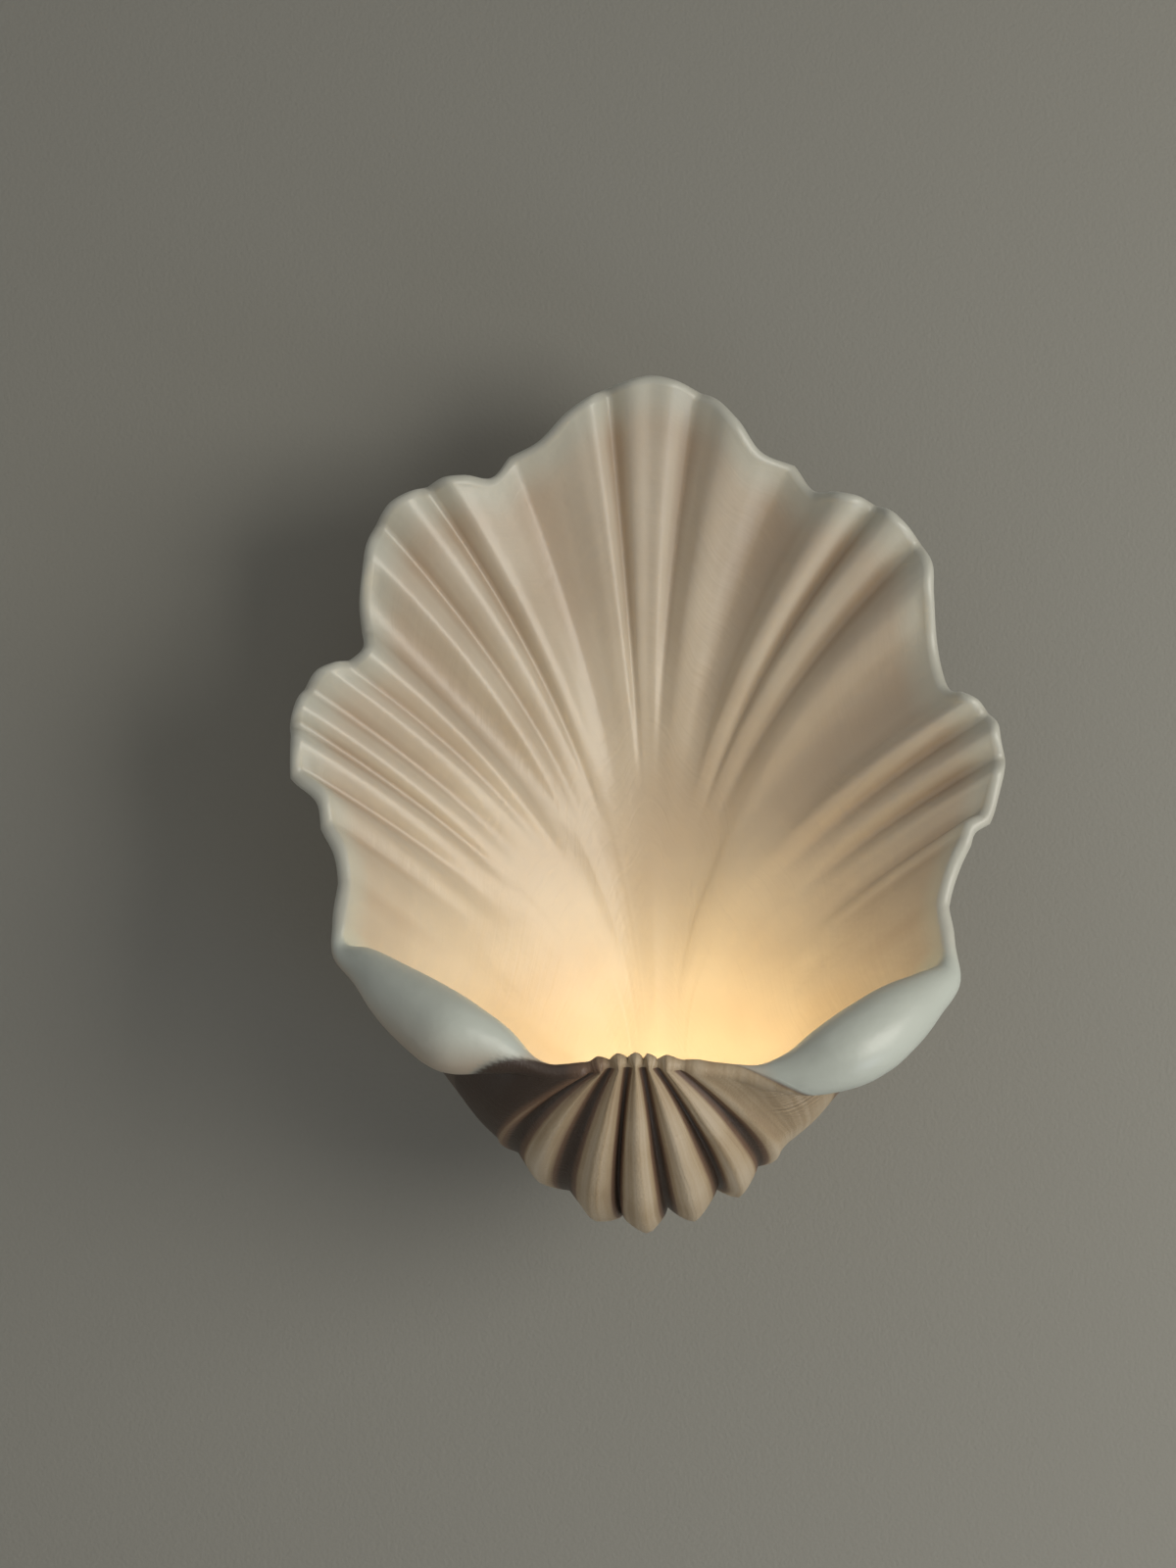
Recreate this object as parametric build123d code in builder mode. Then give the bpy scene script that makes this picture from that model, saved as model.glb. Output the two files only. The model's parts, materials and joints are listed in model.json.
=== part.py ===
from build123d import *
from math import acos, atan2, cos, degrees, hypot, radians, sin, sqrt
import os

# Shell wall sconce: a fluted clam-shell bowl with a rolled front lip, hung on a steel wall plate,
# with a small capsule lamp low inside it. Millimetres. +Z up, +X to the right as seen from the room,
# +Y into the wall. The origin is the middle of the wall plate's screw pattern, on the wall face.

# ---------------------------------------------------------------- driving sizes: shell
mouth_w = 334.0                 # width of the opening's outline
mouth_h = 326.0                 # height of the opening's outline, from the lip's roll to the top
mouth_d = 184.0                 # how far the middle of the lip stands out from the wall
wall = 7.5                      # thickness of the cast wall
lamp_x = 8.0                    # the lamp's axis stands a little right of the middle
seat_z = -128.0                 # height of the seat that carries the lamp
seat_r = 17.0                   # flat round seat at the bottom of the bowl's back
seat_face = 50.0                # distance of the seat's inner face from the wall
seat_wall = 8.0                 # thickness of the seat
flute_reach = 0.6               # share of each flute line over which its relief dies out
opening_z = 20.0                # middle of the opening, from which directions are measured

# The scalloped edge, clockwise from the left shoulder over the top to the right shoulder:
# x, z of the outline, and how far the surface stands forward (ridge) or back (groove) there.
edge_outline = [
    (-143, -41, 2), (-138, -22, -2.2), (-143, -9, 1.3), (-147, 5, -2.2), (-152, 15, 2),
    (-162, 30, -2.2), (-166, 38, 4.9), (-165.5, 45, 4.9), (-162.5, 51, -2.2), (-165, 56, 4.2),
    (-163, 62, 4.2), (-157, 67, -1.8), (-154, 76, 4.2), (-148, 79.5, 4.2), (-139, 79, -1.8),
    (-133, 86, 2.8), (-126, 98, -9.5), (-129, 116, -5.4), (-134, 127, 5.6), (-132, 136, 5.6),
    (-124, 146.5, -2.2), (-121, 157, 6.3), (-112, 162.5, 6.3), (-102, 163, -1.8), (-96, 169.5, 6.3),
    (-88, 171, 5.6), (-72, 167, -4.1), (-59.5, 177, -9.5), (-46.5, 185.5, -5.4), (-35, 203, 5.6),
    (-25, 209.5, 6.3), (-16.5, 210.5, -2.2), (-8, 216.5, 6.3), (4, 219, 6.6), (15, 217, 6.3),
    (25.5, 209, -2.2), (33, 207.5, 6.3), (45, 199, 6.3), (55, 181, -5.4), (68, 173, -9.5),
    (80.5, 160, -6.5), (94, 163, 6.3), (103, 160.5, 6.3), (110, 154, -1.8), (118, 153.5, 6.3),
    (125, 147, 6.3), (129, 137, -2.2), (137, 128, 5.6), (138.5, 115, 6.3), (132.5, 96, -6.8),
    (134, 79, -9.5), (143, 64.5, -4.1), (151, 65.5, 4.2), (157, 61.5, 4.2), (159, 55, -2.2),
    (166, 50, 4.9), (167, 43, 4.9), (165, 36, -2.2), (168, 29, 4.9), (166, 20, 4.2),
    (157.5, 9, -2.2), (153, 2.5, 1.3), (148, -2, -2.2), (145, -14.5, 1.3), (136, -32.5, -2.2),
    (141, -49.5, 2),
]

# The rolled lip, from the right shoulder round the front to the left shoulder: x, z of the roll's
# middle, its radius, x, z of the bowl's belly behind it, and the rib or groove of the beak there.
lip_outline = [
    (137, -60, 6.5, 76, -104, 0), (128, -70, 11, 79, -106, 0), (113, -81, 15.5, 81, -108, 0),
    (97, -93, 17, 82, -112.5, 0), (78, -103, 15, 76, -120.5, 0), (61, -107, 10, 69, -128.5, 0),
    (47.5, -105.5, 5.2, 63, -133.5, 0), (36.5, -103, 4, 60, -136, 0), (28, -102, 4, 57, -139, 0.3),
    (21, -101, 4, 54, -142, 1.2), (15, -100.6, 4, 49.5, -146.2, -1.4),
    (11.5, -99.9, 4, 45.5, -150, 1), (8.5, -99.3, 4, 40.5, -154.3, 2.8),
    (4.6, -100, 4, 33, -155.2, -2.2), (2.6, -99.4, 4, 27, -160, 0.6),
    (0.7, -98.8, 4, 20, -165.2, 3), (-1.6, -99.8, 4, 9.5, -165.4, -2.2),
    (-3.4, -99.2, 4, 4.2, -168.2, 0.8), (-5.3, -98.4, 4, -1.3, -170.6, 3.2),
    (-6.9, -99.2, 4, -5.6, -169.2, 0.8), (-8.4, -99.8, 4, -9.6, -165.6, -2.2),
    (-10.4, -99.2, 4, -14.5, -167, 0.8), (-12.3, -98.8, 4, -20, -165.5, 3),
    (-14.4, -99.5, 4, -27, -162, 0.6), (-16.5, -100.2, 4, -33.5, -158.5, -2.4),
    (-18.8, -100, 4, -38, -155, 0.4), (-20.8, -99.8, 4, -43, -150.5, 2.2),
    (-23, -100.8, 4, -50, -145.5, 0.4), (-25.5, -101.6, 4, -55.5, -141, -1.8),
    (-29, -102.2, 4, -58.5, -138, -0.2), (-36, -103, 3.9, -60, -135.5, 0),
    (-43, -103.2, 3.9, -61, -134.2, 0), (-50, -101.7, 4.6, -62, -133.2, 0),
    (-61, -98.5, 10.5, -66, -129.5, 0), (-80, -94.5, 16.5, -74, -118.5, 0),
    (-100, -81.5, 16.5, -79, -110, 0), (-117, -67.5, 13, -76, -106, 0),
    (-130, -57, 8.5, -72, -103, 0), (-138, -51, 4.5, -70, -100, 0),
]

# Depths in front of the wall and turns, against the direction from the middle of the opening
# (0 is straight up, 180 is the beak at the bottom of the lip).
rim_depth = [(0, 65), (32, 73), (60, 88), (82, 108), (107, 129), (118, 142), (135, 165), (153, 180),
             (180, 184)]
belly_depth = [(0, 34), (32, 37), (60, 46), (82, 57), (107, 70), (118, 78), (135, 106), (153, 114),
               (180, 118)]
belly_spread = [(0, 0.25), (60, 0.26), (82, 0.31), (107, 0.425), (118, 0.475), (180, 0.475)]
belly_drop = [(0, 0), (60, 0), (82, 2), (107, 6), (118, 8), (180, 8)]
belly_lean = 0.25               # share of the lamp's sideways place that the belly follows
seat_turn = [(0, 0), (32, 20), (82, 60), (118, 100), (135, 125), (153, 150), (165, 165), (180, 180)]
rib_start = 0.6                 # the beak's ribs at the lip, as a share of their full relief
rib_gain = 2.0                  # how fast they rise from there along a flute line
rib_fade = 0.4                  # share of the line over which they die out towards the seat
steps_along = [0, 0.1, 0.22, 0.36, 0.52, 0.68, 0.84, 1]      # places along a flute line
steps_round = 4                                             # steps round the edge's bead

# ---------------------------------------------------------------- driving sizes: hanging
plate_half_x = 40.0             # wall plate
plate_top = 84.0
plate_bottom = -150.0
sheet = 2.0                     # steel sheet of the plates and brackets
flange = 5.0                    # stiffening flange along the wall plate's sides
screw_x = 28.0                  # wall screw pattern, half spacings
screw_z = 72.0
slot_w = 5.0
slot_l = 12.0
entry_z = -20.0                 # cable entry
entry_r = 8.0
hook_x = 14.0                   # two hooks bent out of the wall plate
hook_w = 12.0
hook_top = 52.0                 # height on which the hanger plate hangs
hook_lip = 8.0
hanger_face = 12.0              # distance of the bosses' faces from the wall
hanger_half_x = 50.0
hanger_low = 32.0
hanger_high = 80.0
hook_window = 14.0              # height of the hanger plate's slots
boss_x = 36.0
boss_r = 7.0
boss_rows = ((46.0, 37.0), (66.0, 37.6))    # height, and depth at which it ends in the shell's wall
insert_r = 3.0
insert_l = 10.0
screw_r = 2.0                   # M4 machine screws
screw_l = 8.0
screw_head_r = 3.6
screw_head_h = 2.2
clear = 0.3                     # gap between parts that slide past each other
fit = 0.05                      # gap round a thread or a pressed-in piece
snug = 0.2                      # gap round the hollow thread
hook_slack = 2.0                # how much wider the hanger plate's slots are than the hooks
hanger_corner = 6.0

# ---------------------------------------------------------------- driving sizes: lower bracket
bracket_half_x = 12.0
bracket_rise = 14.0             # bracket's top above the lamp's axis
tab_reach = 32.0                # wall plate's bottom tab, out from the wall
tab_half_x = 14.0
lock_y = 20.0                   # lock screw's distance from the wall
lock_r = 2.5
lock_head_r = 6.0
lock_head_h = 6.0
lock_nut_r = 5.0
lock_nut_h = 4.0
lock_chamfer = 0.8
lock_spare = 1.0                # thread that stands past the nut
pad_t = 1.7                     # rubber pad between bracket and wall plate
pad_margin = 1.5
flange_h = 16.0

# ---------------------------------------------------------------- driving sizes: lamp
nipple_r = 5.0                  # M10 hollow thread
nipple_bore = 3.5
nut_af = 14.0                   # across flats
nut_h = 4.0
washer_t = 1.0
washer_r = 8.5
nipple_spare = 1.5              # thread that stands past each nut
saddle_t = 1.2                  # strap that holds the lampholder
saddle_half_x = 10.0            # half the width between its arms
saddle_half_z = 8.0
saddle_reach = 24.0
holder_gap = 2.0                # between the nipple's end and the lampholder
holder_l = 20.0
holder_half_z = 7.5
holder_corner = 3.0
recess_l = 6.0                  # oval recess for the lamp's base
base_half_x = 6.7
base_half_z = 2.2
base_gap = 0.4
pin_x = 4.5                     # half the pin spacing
pin_r = 0.6
pin_l = 6.0
clip_r = 1.5
clip_bore = 1.0
well_l = 7.0                    # depth of the contacts' wells behind the recess
cross_r = 1.2                   # cross screws that hold the lampholder in its strap
cross_l = 3.0
cross_head_r = 2.5
cross_head_h = 1.6
glass_r = 6.5                   # capsule
glass_l = 30.0
glass_wall = 1.0
base_l = 10.0
seal_l = 1.0                    # quartz that closes the base over the pins
filament_half = 2.0             # half the width of the filament's hoop
filament_r = 0.35

# ---------------------------------------------------------------- driving sizes: wiring
lead_r = 0.9
lead_x = 1.6                    # half the distance between the leads in the nipple
block_z = -62.0                 # terminal block
block_half_x = 16.0
block_half_z = 9.0
block_t = 14.0
way_pitch = 10.0
tube_half = 2.6                 # square brass tube of each way
tube_bore = 1.5
tube_margin = 1.0               # how far the tubes lie inside the block's ends
tube_drop = 1.0                 # how much nearer the wall the tubes lie than the block's middle
block_chamfer = 2.0
block_head_r = 2.4
block_head_h = 1.4
terminal_screw_l = 2.5
terminal_head_r = 1.9
screw_hole_r = 1.6
lead_back = 22.0                # how near the wall the leads turn up
lead_rise = 26.0
lead_drop = 12.0
lead_in = 4.0                   # bare end inside the lampholder
lead_end = 3.0                  # end inside the terminal block
lead_step = 4.0                 # how much nearer the wall the leads get as they turn up
lead_bends = (8.0, 20.0, 14.0)
earth_x = 28.0
earth_z = -40.0
earth_stud_l = 12.0
earth_washer_r = 4.5
earth_nut_af = 7.0
earth_nut_h = 3.2
earth_spare = 0.5               # end of the earth lead inside the barrel
earth_run = 9.0                 # straight stretch of the earth lead behind the barrel
earth_rise = 1.0                # how much higher the lead is where it turns down to the block
earth_bends = (12.0, 4.0)
ring_r = 3.8
ring_t = 0.8
neck_l = 3.0                    # neck between the ring and its barrel
neck_w = 3.0
neck_overlap = 1.0              # how far the neck runs into the ring
barrel_l = 5.0
barrel_r = 1.6
grommet_lip = 2.0
grommet_bore = 6.0

os.makedirs("parts", exist_ok=True)

# how much the real opening differs from the drawn outlines
drawn_x = [row[0] for row in edge_outline]
drawn_z = [row[1] for row in edge_outline + lip_outline]
wide = mouth_w / (max(drawn_x) - min(drawn_x))
tall = mouth_h / (max(drawn_z) - min(drawn_z))
deep = mouth_d / rim_depth[-1][1]


# ---------------------------------------------------------------- the shell's surface
def between(table, at):
    """Smooth reading of a short table of (place, value), with no overshoot."""
    slopes = [(b[1] - a[1]) / (b[0] - a[0]) for a, b in zip(table, table[1:])]
    bends = [2 * p * q / (p + q) if p * q > 0 else 0 for p, q in zip(slopes, slopes[1:])]
    bends = [0] + bends + [0]
    for k, ((x0, y0), (x1, y1)) in enumerate(zip(table, table[1:])):
        if at <= x1 or k == len(table) - 2:
            span = x1 - x0
            t = min(1, max(0, (at - x0) / span))
            rise = y0 * (1 + 2 * t) * (1 - t) ** 2 + y1 * t * t * (3 - 2 * t)
            return rise + span * (bends[k] * t * (1 - t) ** 2 - bends[k + 1] * t * t * (1 - t))


def direction(x, z):
    """Angle of a point of the edge from straight up, in degrees, alike on both sides."""
    return degrees(atan2(abs(x), z - opening_z))


def seat_point(x, angle):
    """Where the flute line of that direction reaches the round seat."""
    turn = radians(between(seat_turn, angle)) * (1 if x > 0 else -1)
    return Vector(lamp_x + seat_r * sin(turn), -seat_face, seat_z + seat_r * cos(turn))


class FluteLine:
    """One line of the shell: over the bowl's inside, round its edge and back along its outside."""

    def __init__(self, edge, belly, seat, bead, flute, rib):
        self.edge, self.belly, self.seat = edge, belly, seat
        self.bead, self.flute, self.rib = bead, flute, rib

    def face_edge(self, before, after):
        """Set the line square to the edge, between its neighbours."""
        along = (after.edge - before.edge).normalized()
        inward = self.belly * 2 - (self.edge + self.seat) * 0.5 - self.edge
        inward = (inward - along * inward.dot(along)).normalized()
        self.start = self.edge - along.cross(inward) * self.bead
        self.pull = self.belly * 2 - (self.start + self.seat) * 0.5
        self.along, self.before, self.after = along, before, after

    def base(self, v):
        """Smooth bowl: a parabola from the edge through the belly to the seat."""
        return self.start * (1 - v) ** 2 + self.pull * (2 * v * (1 - v)) + self.seat * v * v

    def outward(self, v):
        """Direction square to the smooth bowl, away from its hollow."""
        near, far = max(0, v - 0.01), min(1, v + 0.01)
        run = self.base(far) - self.base(near)
        return (self.after.base(v) - self.before.base(v)).cross(run).normalized()

    def relief(self, v):
        """Flute height, full at the edge and gone at the end of its reach."""
        share = min(1, v / flute_reach)
        return self.flute * (1 - share * share * (3 - 2 * share))

    def inside(self, v):
        return self.base(v) - self.outward(v) * self.relief(v)

    def outside(self, v):
        fade = min(1, rib_start + rib_gain * v) * min(1, (1 - v) / rib_fade)
        return self.inside(v) + self.outward(v) * (wall + self.rib * fade)

    def roll(self):
        """Points round the edge's bead with its ribs, until it meets the outside of the wall again."""
        out = self.outward(0)
        down = out.cross(self.along)
        middle = self.inside(0) + out * self.bead
        end = 360 - degrees(acos(max(-1, 1 - wall / self.bead)))
        shares = [k / steps_round for k in range(steps_round + 1)]
        spokes = [out * -cos(radians(end * k)) - down * sin(radians(end * k)) for k in shares]
        return [middle + spoke * (self.bead + self.rib * rib_start * k) for spoke, k in zip(spokes, shares)]

    def curves(self):
        """Inside, bead and outside of the line, as three edges end to end."""
        bead_points = self.roll()
        hidden = sqrt(max(0, self.bead ** 2 - (self.bead - wall) ** 2)) if self.bead > wall / 2 else 0
        first = hidden / (2 * (self.pull - self.start).length)
        back = [self.outside(first + (1 - first) * v) for v in steps_along[1:-1]]
        back = [bead_points[-1]] + back + [self.seat + Vector(0, seat_wall, 0)]
        shares = [k / steps_round for k in range(steps_round + 1)]
        return (
            Edge.make_spline([self.inside(v) for v in steps_along], parameters=steps_along),
            Edge.make_spline(bead_points, parameters=shares),
            Edge.make_spline(back, parameters=steps_along),
        )


def placed(x, depth, z):
    """A point of the drawn outlines at the shell's real width, depth and height."""
    return Vector(x * wide, -depth * deep, seat_z + (z - seat_z) * tall)


def edge_line(x, z, flute):
    """Flute line that starts at a point of the scalloped edge."""
    angle = direction(x, z)
    share = 1 - wall / 2 / hypot(x, z - opening_z)
    seat = seat_point(x, angle)
    edge = placed(x * share, between(rim_depth, angle), opening_z + (z - opening_z) * share)
    belly_x = x * wide * between(belly_spread, angle) + belly_lean * seat.X
    belly_z = 0.5 * (edge.Z + seat.Z) - between(belly_drop, angle)
    belly = Vector(belly_x, -between(belly_depth, angle) * deep, belly_z)
    return FluteLine(edge, belly, seat, wall / 2, flute, 0)


def lip_line(x, z, bead, belly_x, belly_z, rib):
    """Line that starts on the rolled lip and runs under the beak."""
    angle = direction(x, z)
    edge = placed(x, between(rim_depth, angle), z)
    belly = placed(belly_x, between(belly_depth, angle), belly_z)
    return FluteLine(edge, belly, seat_point(x, angle), max(bead, wall / 2), 0, rib)


lines = [edge_line(*row) for row in edge_outline] + [lip_line(*row) for row in lip_outline]
for k, line in enumerate(lines):
    line.face_edge(lines[k - 1], lines[(k + 1) % len(lines)])
rows = [line.curves() for line in lines]
skin = [Face.make_surface_from_curves(rows[k - 1][part], rows[k][part])
        for k in range(len(rows)) for part in range(3)]
seat_rings = [[line.seat + Vector(0, depth, 0) for line in lines] for depth in (0, seat_wall)]
skin += [Face(Wire.make_polygon(ring, close=True)) for ring in seat_rings]

boss_spots = [(x, z) for x in (-boss_x, boss_x) for z, depth in boss_rows]

with BuildPart() as shell:
    add(Solid(Shell(skin)))
    # four bosses on the back carry the hanger plate, each with a blind hole for its insert
    for z, depth in boss_rows:
        with BuildSketch(Plane.XZ.offset(hanger_face)):
            with Locations((-boss_x, z), (boss_x, z)):
                Circle(boss_r)
        extrude(amount=depth - hanger_face)
    with BuildSketch(Plane.XZ.offset(hanger_face)):
        with Locations(*boss_spots):
            Circle(insert_r)
    extrude(amount=insert_l, mode=Mode.SUBTRACT)
    # hole for the hollow thread through the seat
    with BuildSketch(Plane.XZ.offset(seat_face - seat_wall)):
        with Locations((lamp_x, seat_z)):
            Circle(nipple_r + clear)
    extrude(amount=seat_wall, mode=Mode.SUBTRACT)
shell.part.label = "shell"
export_step(shell.part, "parts/shell.step")

# ---------------------------------------------------------------- hanging: on the shell
with BuildPart() as screw_inserts:
    with BuildSketch(Plane.XZ.offset(hanger_face)):
        with Locations(*boss_spots):
            Circle(insert_r)
            Circle(screw_r, mode=Mode.SUBTRACT)
    extrude(amount=insert_l)
screw_inserts.part.label = "screw_inserts"
export_step(screw_inserts.part, "parts/screw_inserts.step")

with BuildPart() as hanger_plate:
    with BuildSketch(Plane.XZ.offset(hanger_face - sheet)):
        with Locations((0, (hanger_low + hanger_high) / 2)):
            RectangleRounded(2 * hanger_half_x, hanger_high - hanger_low, hanger_corner)
        with Locations((-hook_x, hook_top - hook_window / 2), (hook_x, hook_top - hook_window / 2)):
            Rectangle(hook_w + hook_slack, hook_window, mode=Mode.SUBTRACT)
        with Locations(*boss_spots):
            Circle(screw_r + clear, mode=Mode.SUBTRACT)
    extrude(amount=sheet)
hanger_plate.part.label = "hanger_plate"
export_step(hanger_plate.part, "parts/hanger_plate.step")

with BuildPart() as hanger_screws:
    with BuildSketch(Plane.XZ.offset(hanger_face - sheet - screw_head_h)):
        with Locations(*boss_spots):
            Circle(screw_head_r)
    extrude(amount=screw_head_h)
    with BuildSketch(Plane.XZ.offset(hanger_face - sheet)):
        with Locations(*boss_spots):
            Circle(screw_r - fit)
    extrude(amount=screw_l)
hanger_screws.part.label = "hanger_screws"
export_step(hanger_screws.part, "parts/hanger_screws.step")

# ---------------------------------------------------------------- hanging: on the wall
hook_face = hanger_face + clear                          # side of the hooks' lips towards the wall
block_spots = [(-way_pitch / 2, block_z), (way_pitch / 2, block_z)]

with BuildPart() as wall_plate:
    with BuildSketch(Plane.XZ):
        with Locations((0, (plate_top + plate_bottom) / 2)):
            Rectangle(2 * plate_half_x, plate_top - plate_bottom)
    extrude(amount=sheet)
    # side flanges, and the bottom tab that the lock screw passes
    for side in (-1, 1):
        with BuildSketch(Plane.XZ.offset(sheet)):
            with Locations((side * (plate_half_x - sheet / 2), (plate_top + plate_bottom) / 2)):
                Rectangle(sheet, plate_top - plate_bottom)
        extrude(amount=flange)
    with BuildSketch(Plane.XZ.offset(sheet)):
        with Locations((lamp_x, plate_bottom + sheet / 2)):
            Rectangle(2 * tab_half_x, sheet)
    extrude(amount=tab_reach - sheet)
    # hooks: tongues bent out of the plate, turned up in front of the hanger plate
    for side in (-1, 1):
        with BuildSketch(Plane.YZ.offset(side * hook_x - hook_w / 2)):
            with BuildLine():
                Polyline(
                    (-sheet, hook_top - sheet), (-hook_face - sheet, hook_top - sheet),
                    (-hook_face - sheet, hook_top + hook_lip), (-hook_face, hook_top + hook_lip),
                    (-hook_face, hook_top), (-sheet, hook_top), close=True,
                )
            make_face()
        extrude(amount=hook_w)
    # windows that the hooks leave, slots for the wall screws, cable entry, earth stud and block hole
    with BuildSketch(Plane.XZ):
        with Locations((-hook_x, hook_top + hook_lip), (hook_x, hook_top + hook_lip)):
            Rectangle(hook_w, 2 * hook_lip)
        with GridLocations(2 * screw_x, 2 * screw_z, 2, 2):
            SlotOverall(slot_l, slot_w)
        with Locations((0, entry_z)):
            Circle(entry_r)
        with Locations((earth_x, earth_z)):
            Circle(screw_r)
        with Locations(*block_spots):
            Circle(screw_hole_r)
    extrude(amount=sheet, mode=Mode.SUBTRACT)
    with BuildSketch(Plane.XY.offset(plate_bottom)):
        with Locations((lamp_x, -lock_y)):
            Circle(lock_r + clear)
    extrude(amount=sheet, mode=Mode.SUBTRACT)
wall_plate.part.label = "wall_plate"
export_step(wall_plate.part, "parts/wall_plate.step")

with BuildPart() as cable_grommet:
    with BuildSketch(Plane.YZ.offset(0)):
        with BuildLine():
            Polyline(
                (0, grommet_bore), (0, entry_r), (-sheet, entry_r), (-sheet, entry_r + grommet_lip),
                (-sheet - grommet_lip, entry_r + grommet_lip), (-sheet - grommet_lip, grommet_bore),
                close=True,
            )
        make_face()
    revolve(axis=Axis.Y)
cable_grommet.part.label = "cable_grommet"
cable_grommet.part.position = (0, 0, entry_z)
export_step(cable_grommet.part, "parts/cable_grommet.step")

# ---------------------------------------------------------------- lower bracket and lock screw
bracket_face = seat_face - seat_wall - washer_t          # side of the bracket towards the shell
bracket_low = plate_bottom + sheet + clear
bracket_end = sheet + clear + pad_t                      # side of the bracket towards the wall
bracket_top = seat_z + bracket_rise

with BuildPart() as lower_bracket:
    with BuildSketch(Plane.YZ.offset(lamp_x - bracket_half_x)):
        with BuildLine():
            Polyline(
                (-bracket_face, bracket_top), (-bracket_face, bracket_low), (-bracket_end, bracket_low),
                (-bracket_end, bracket_low + flange_h), (-bracket_end - sheet, bracket_low + flange_h),
                (-bracket_end - sheet, bracket_low + sheet), (-bracket_face + sheet, bracket_low + sheet),
                (-bracket_face + sheet, bracket_top), close=True,
            )
        make_face()
    extrude(amount=2 * bracket_half_x)
    with BuildSketch(Plane.XZ.offset(bracket_face - sheet)):
        with Locations((lamp_x, seat_z)):
            Circle(nipple_r + snug)
    extrude(amount=sheet, mode=Mode.SUBTRACT)
    with BuildSketch(Plane.XY.offset(bracket_low)):
        with Locations((lamp_x, -lock_y)):
            Circle(lock_r + clear)
    extrude(amount=sheet, mode=Mode.SUBTRACT)
lower_bracket.part.label = "lower_bracket"
export_step(lower_bracket.part, "parts/lower_bracket.step")

with BuildPart() as bracket_pad:
    with BuildSketch(Plane.XZ.offset(bracket_end - pad_t)):
        with Locations((lamp_x, bracket_low + flange_h / 2)):
            Rectangle(2 * (bracket_half_x - pad_margin), flange_h - 2 * pad_margin)
    extrude(amount=pad_t)
bracket_pad.part.label = "bracket_pad"
export_step(bracket_pad.part, "parts/bracket_pad.step")

with BuildPart() as lock_nut:
    with BuildSketch(Plane.XY.offset(bracket_low + sheet)):
        with Locations((lamp_x, -lock_y)):
            RegularPolygon(lock_nut_r, 6)
            Circle(lock_r + clear, mode=Mode.SUBTRACT)
    extrude(amount=lock_nut_h)
lock_nut.part.label = "lock_nut"
export_step(lock_nut.part, "parts/lock_nut.step")

with BuildPart() as lock_screw:
    with BuildSketch(Plane.XY.offset(plate_bottom - lock_head_h)):
        with Locations((lamp_x, -lock_y)):
            Circle(lock_head_r)
    extrude(amount=lock_head_h)
    chamfer(lock_screw.edges().sort_by(Axis.Z)[:1], lock_chamfer)
    with BuildSketch(Plane.XY.offset(plate_bottom)):
        with Locations((lamp_x, -lock_y)):
            Circle(lock_r)
    extrude(amount=2 * sheet + clear + lock_nut_h + lock_spare)
lock_screw.part.label = "lock_screw"
export_step(lock_screw.part, "parts/lock_screw.step")

# ---------------------------------------------------------------- hollow thread through the seat
nut_back = bracket_face - sheet - nut_h                  # wall side of the back nut
saddle_face = seat_face + washer_t + saddle_t            # room side of the saddle's back
nut_front = saddle_face + nut_h
nipple_start = nut_back - nipple_spare
nipple_end = nut_front + nipple_spare

with BuildPart() as nipple:
    with BuildSketch(Plane.XZ.offset(nipple_start)):
        with Locations((lamp_x, seat_z)):
            Circle(nipple_r)
            Circle(nipple_bore, mode=Mode.SUBTRACT)
    extrude(amount=nipple_end - nipple_start)
nipple.part.label = "nipple"
export_step(nipple.part, "parts/nipple.step")

with BuildPart() as nipple_nuts:
    for start in (nut_back, saddle_face):
        with BuildSketch(Plane.XZ.offset(start)):
            with Locations((lamp_x, seat_z)):
                RegularPolygon(nut_af / 2, 6, major_radius=False)
                Circle(nipple_r, mode=Mode.SUBTRACT)
        extrude(amount=nut_h)
nipple_nuts.part.label = "nipple_nuts"
export_step(nipple_nuts.part, "parts/nipple_nuts.step")

with BuildPart() as fibre_washers:
    for start in (bracket_face, seat_face):
        with BuildSketch(Plane.XZ.offset(start)):
            with Locations((lamp_x, seat_z)):
                Circle(washer_r)
                Circle(nipple_r + snug, mode=Mode.SUBTRACT)
        extrude(amount=washer_t)
fibre_washers.part.label = "fibre_washers"
export_step(fibre_washers.part, "parts/fibre_washers.step")

# ---------------------------------------------------------------- lampholder
holder_start = nipple_end + holder_gap
holder_end = holder_start + holder_l
cross_y = holder_start + holder_l / 4                    # cross screws

with BuildPart() as holder_saddle:
    with BuildSketch(Plane.XY.offset(seat_z - saddle_half_z)):
        with Locations((lamp_x, -saddle_face + saddle_t / 2)):
            Rectangle(2 * (saddle_half_x + saddle_t), saddle_t)
        for side in (-1, 1):
            with Locations((lamp_x + side * (saddle_half_x + saddle_t / 2), -saddle_face - saddle_reach / 2)):
                Rectangle(saddle_t, saddle_reach)
    extrude(amount=2 * saddle_half_z)
    with BuildSketch(Plane.XZ.offset(seat_face + washer_t)):
        with Locations((lamp_x, seat_z)):
            Circle(nipple_r + snug)
    extrude(amount=saddle_t, mode=Mode.SUBTRACT)
    with BuildSketch(Plane.YZ.offset(lamp_x - saddle_half_x - saddle_t)):
        with Locations((-cross_y, seat_z)):
            Circle(cross_r + clear)
    extrude(amount=2 * (saddle_half_x + saddle_t), mode=Mode.SUBTRACT)
holder_saddle.part.label = "holder_saddle"
export_step(holder_saddle.part, "parts/holder_saddle.step")

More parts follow.
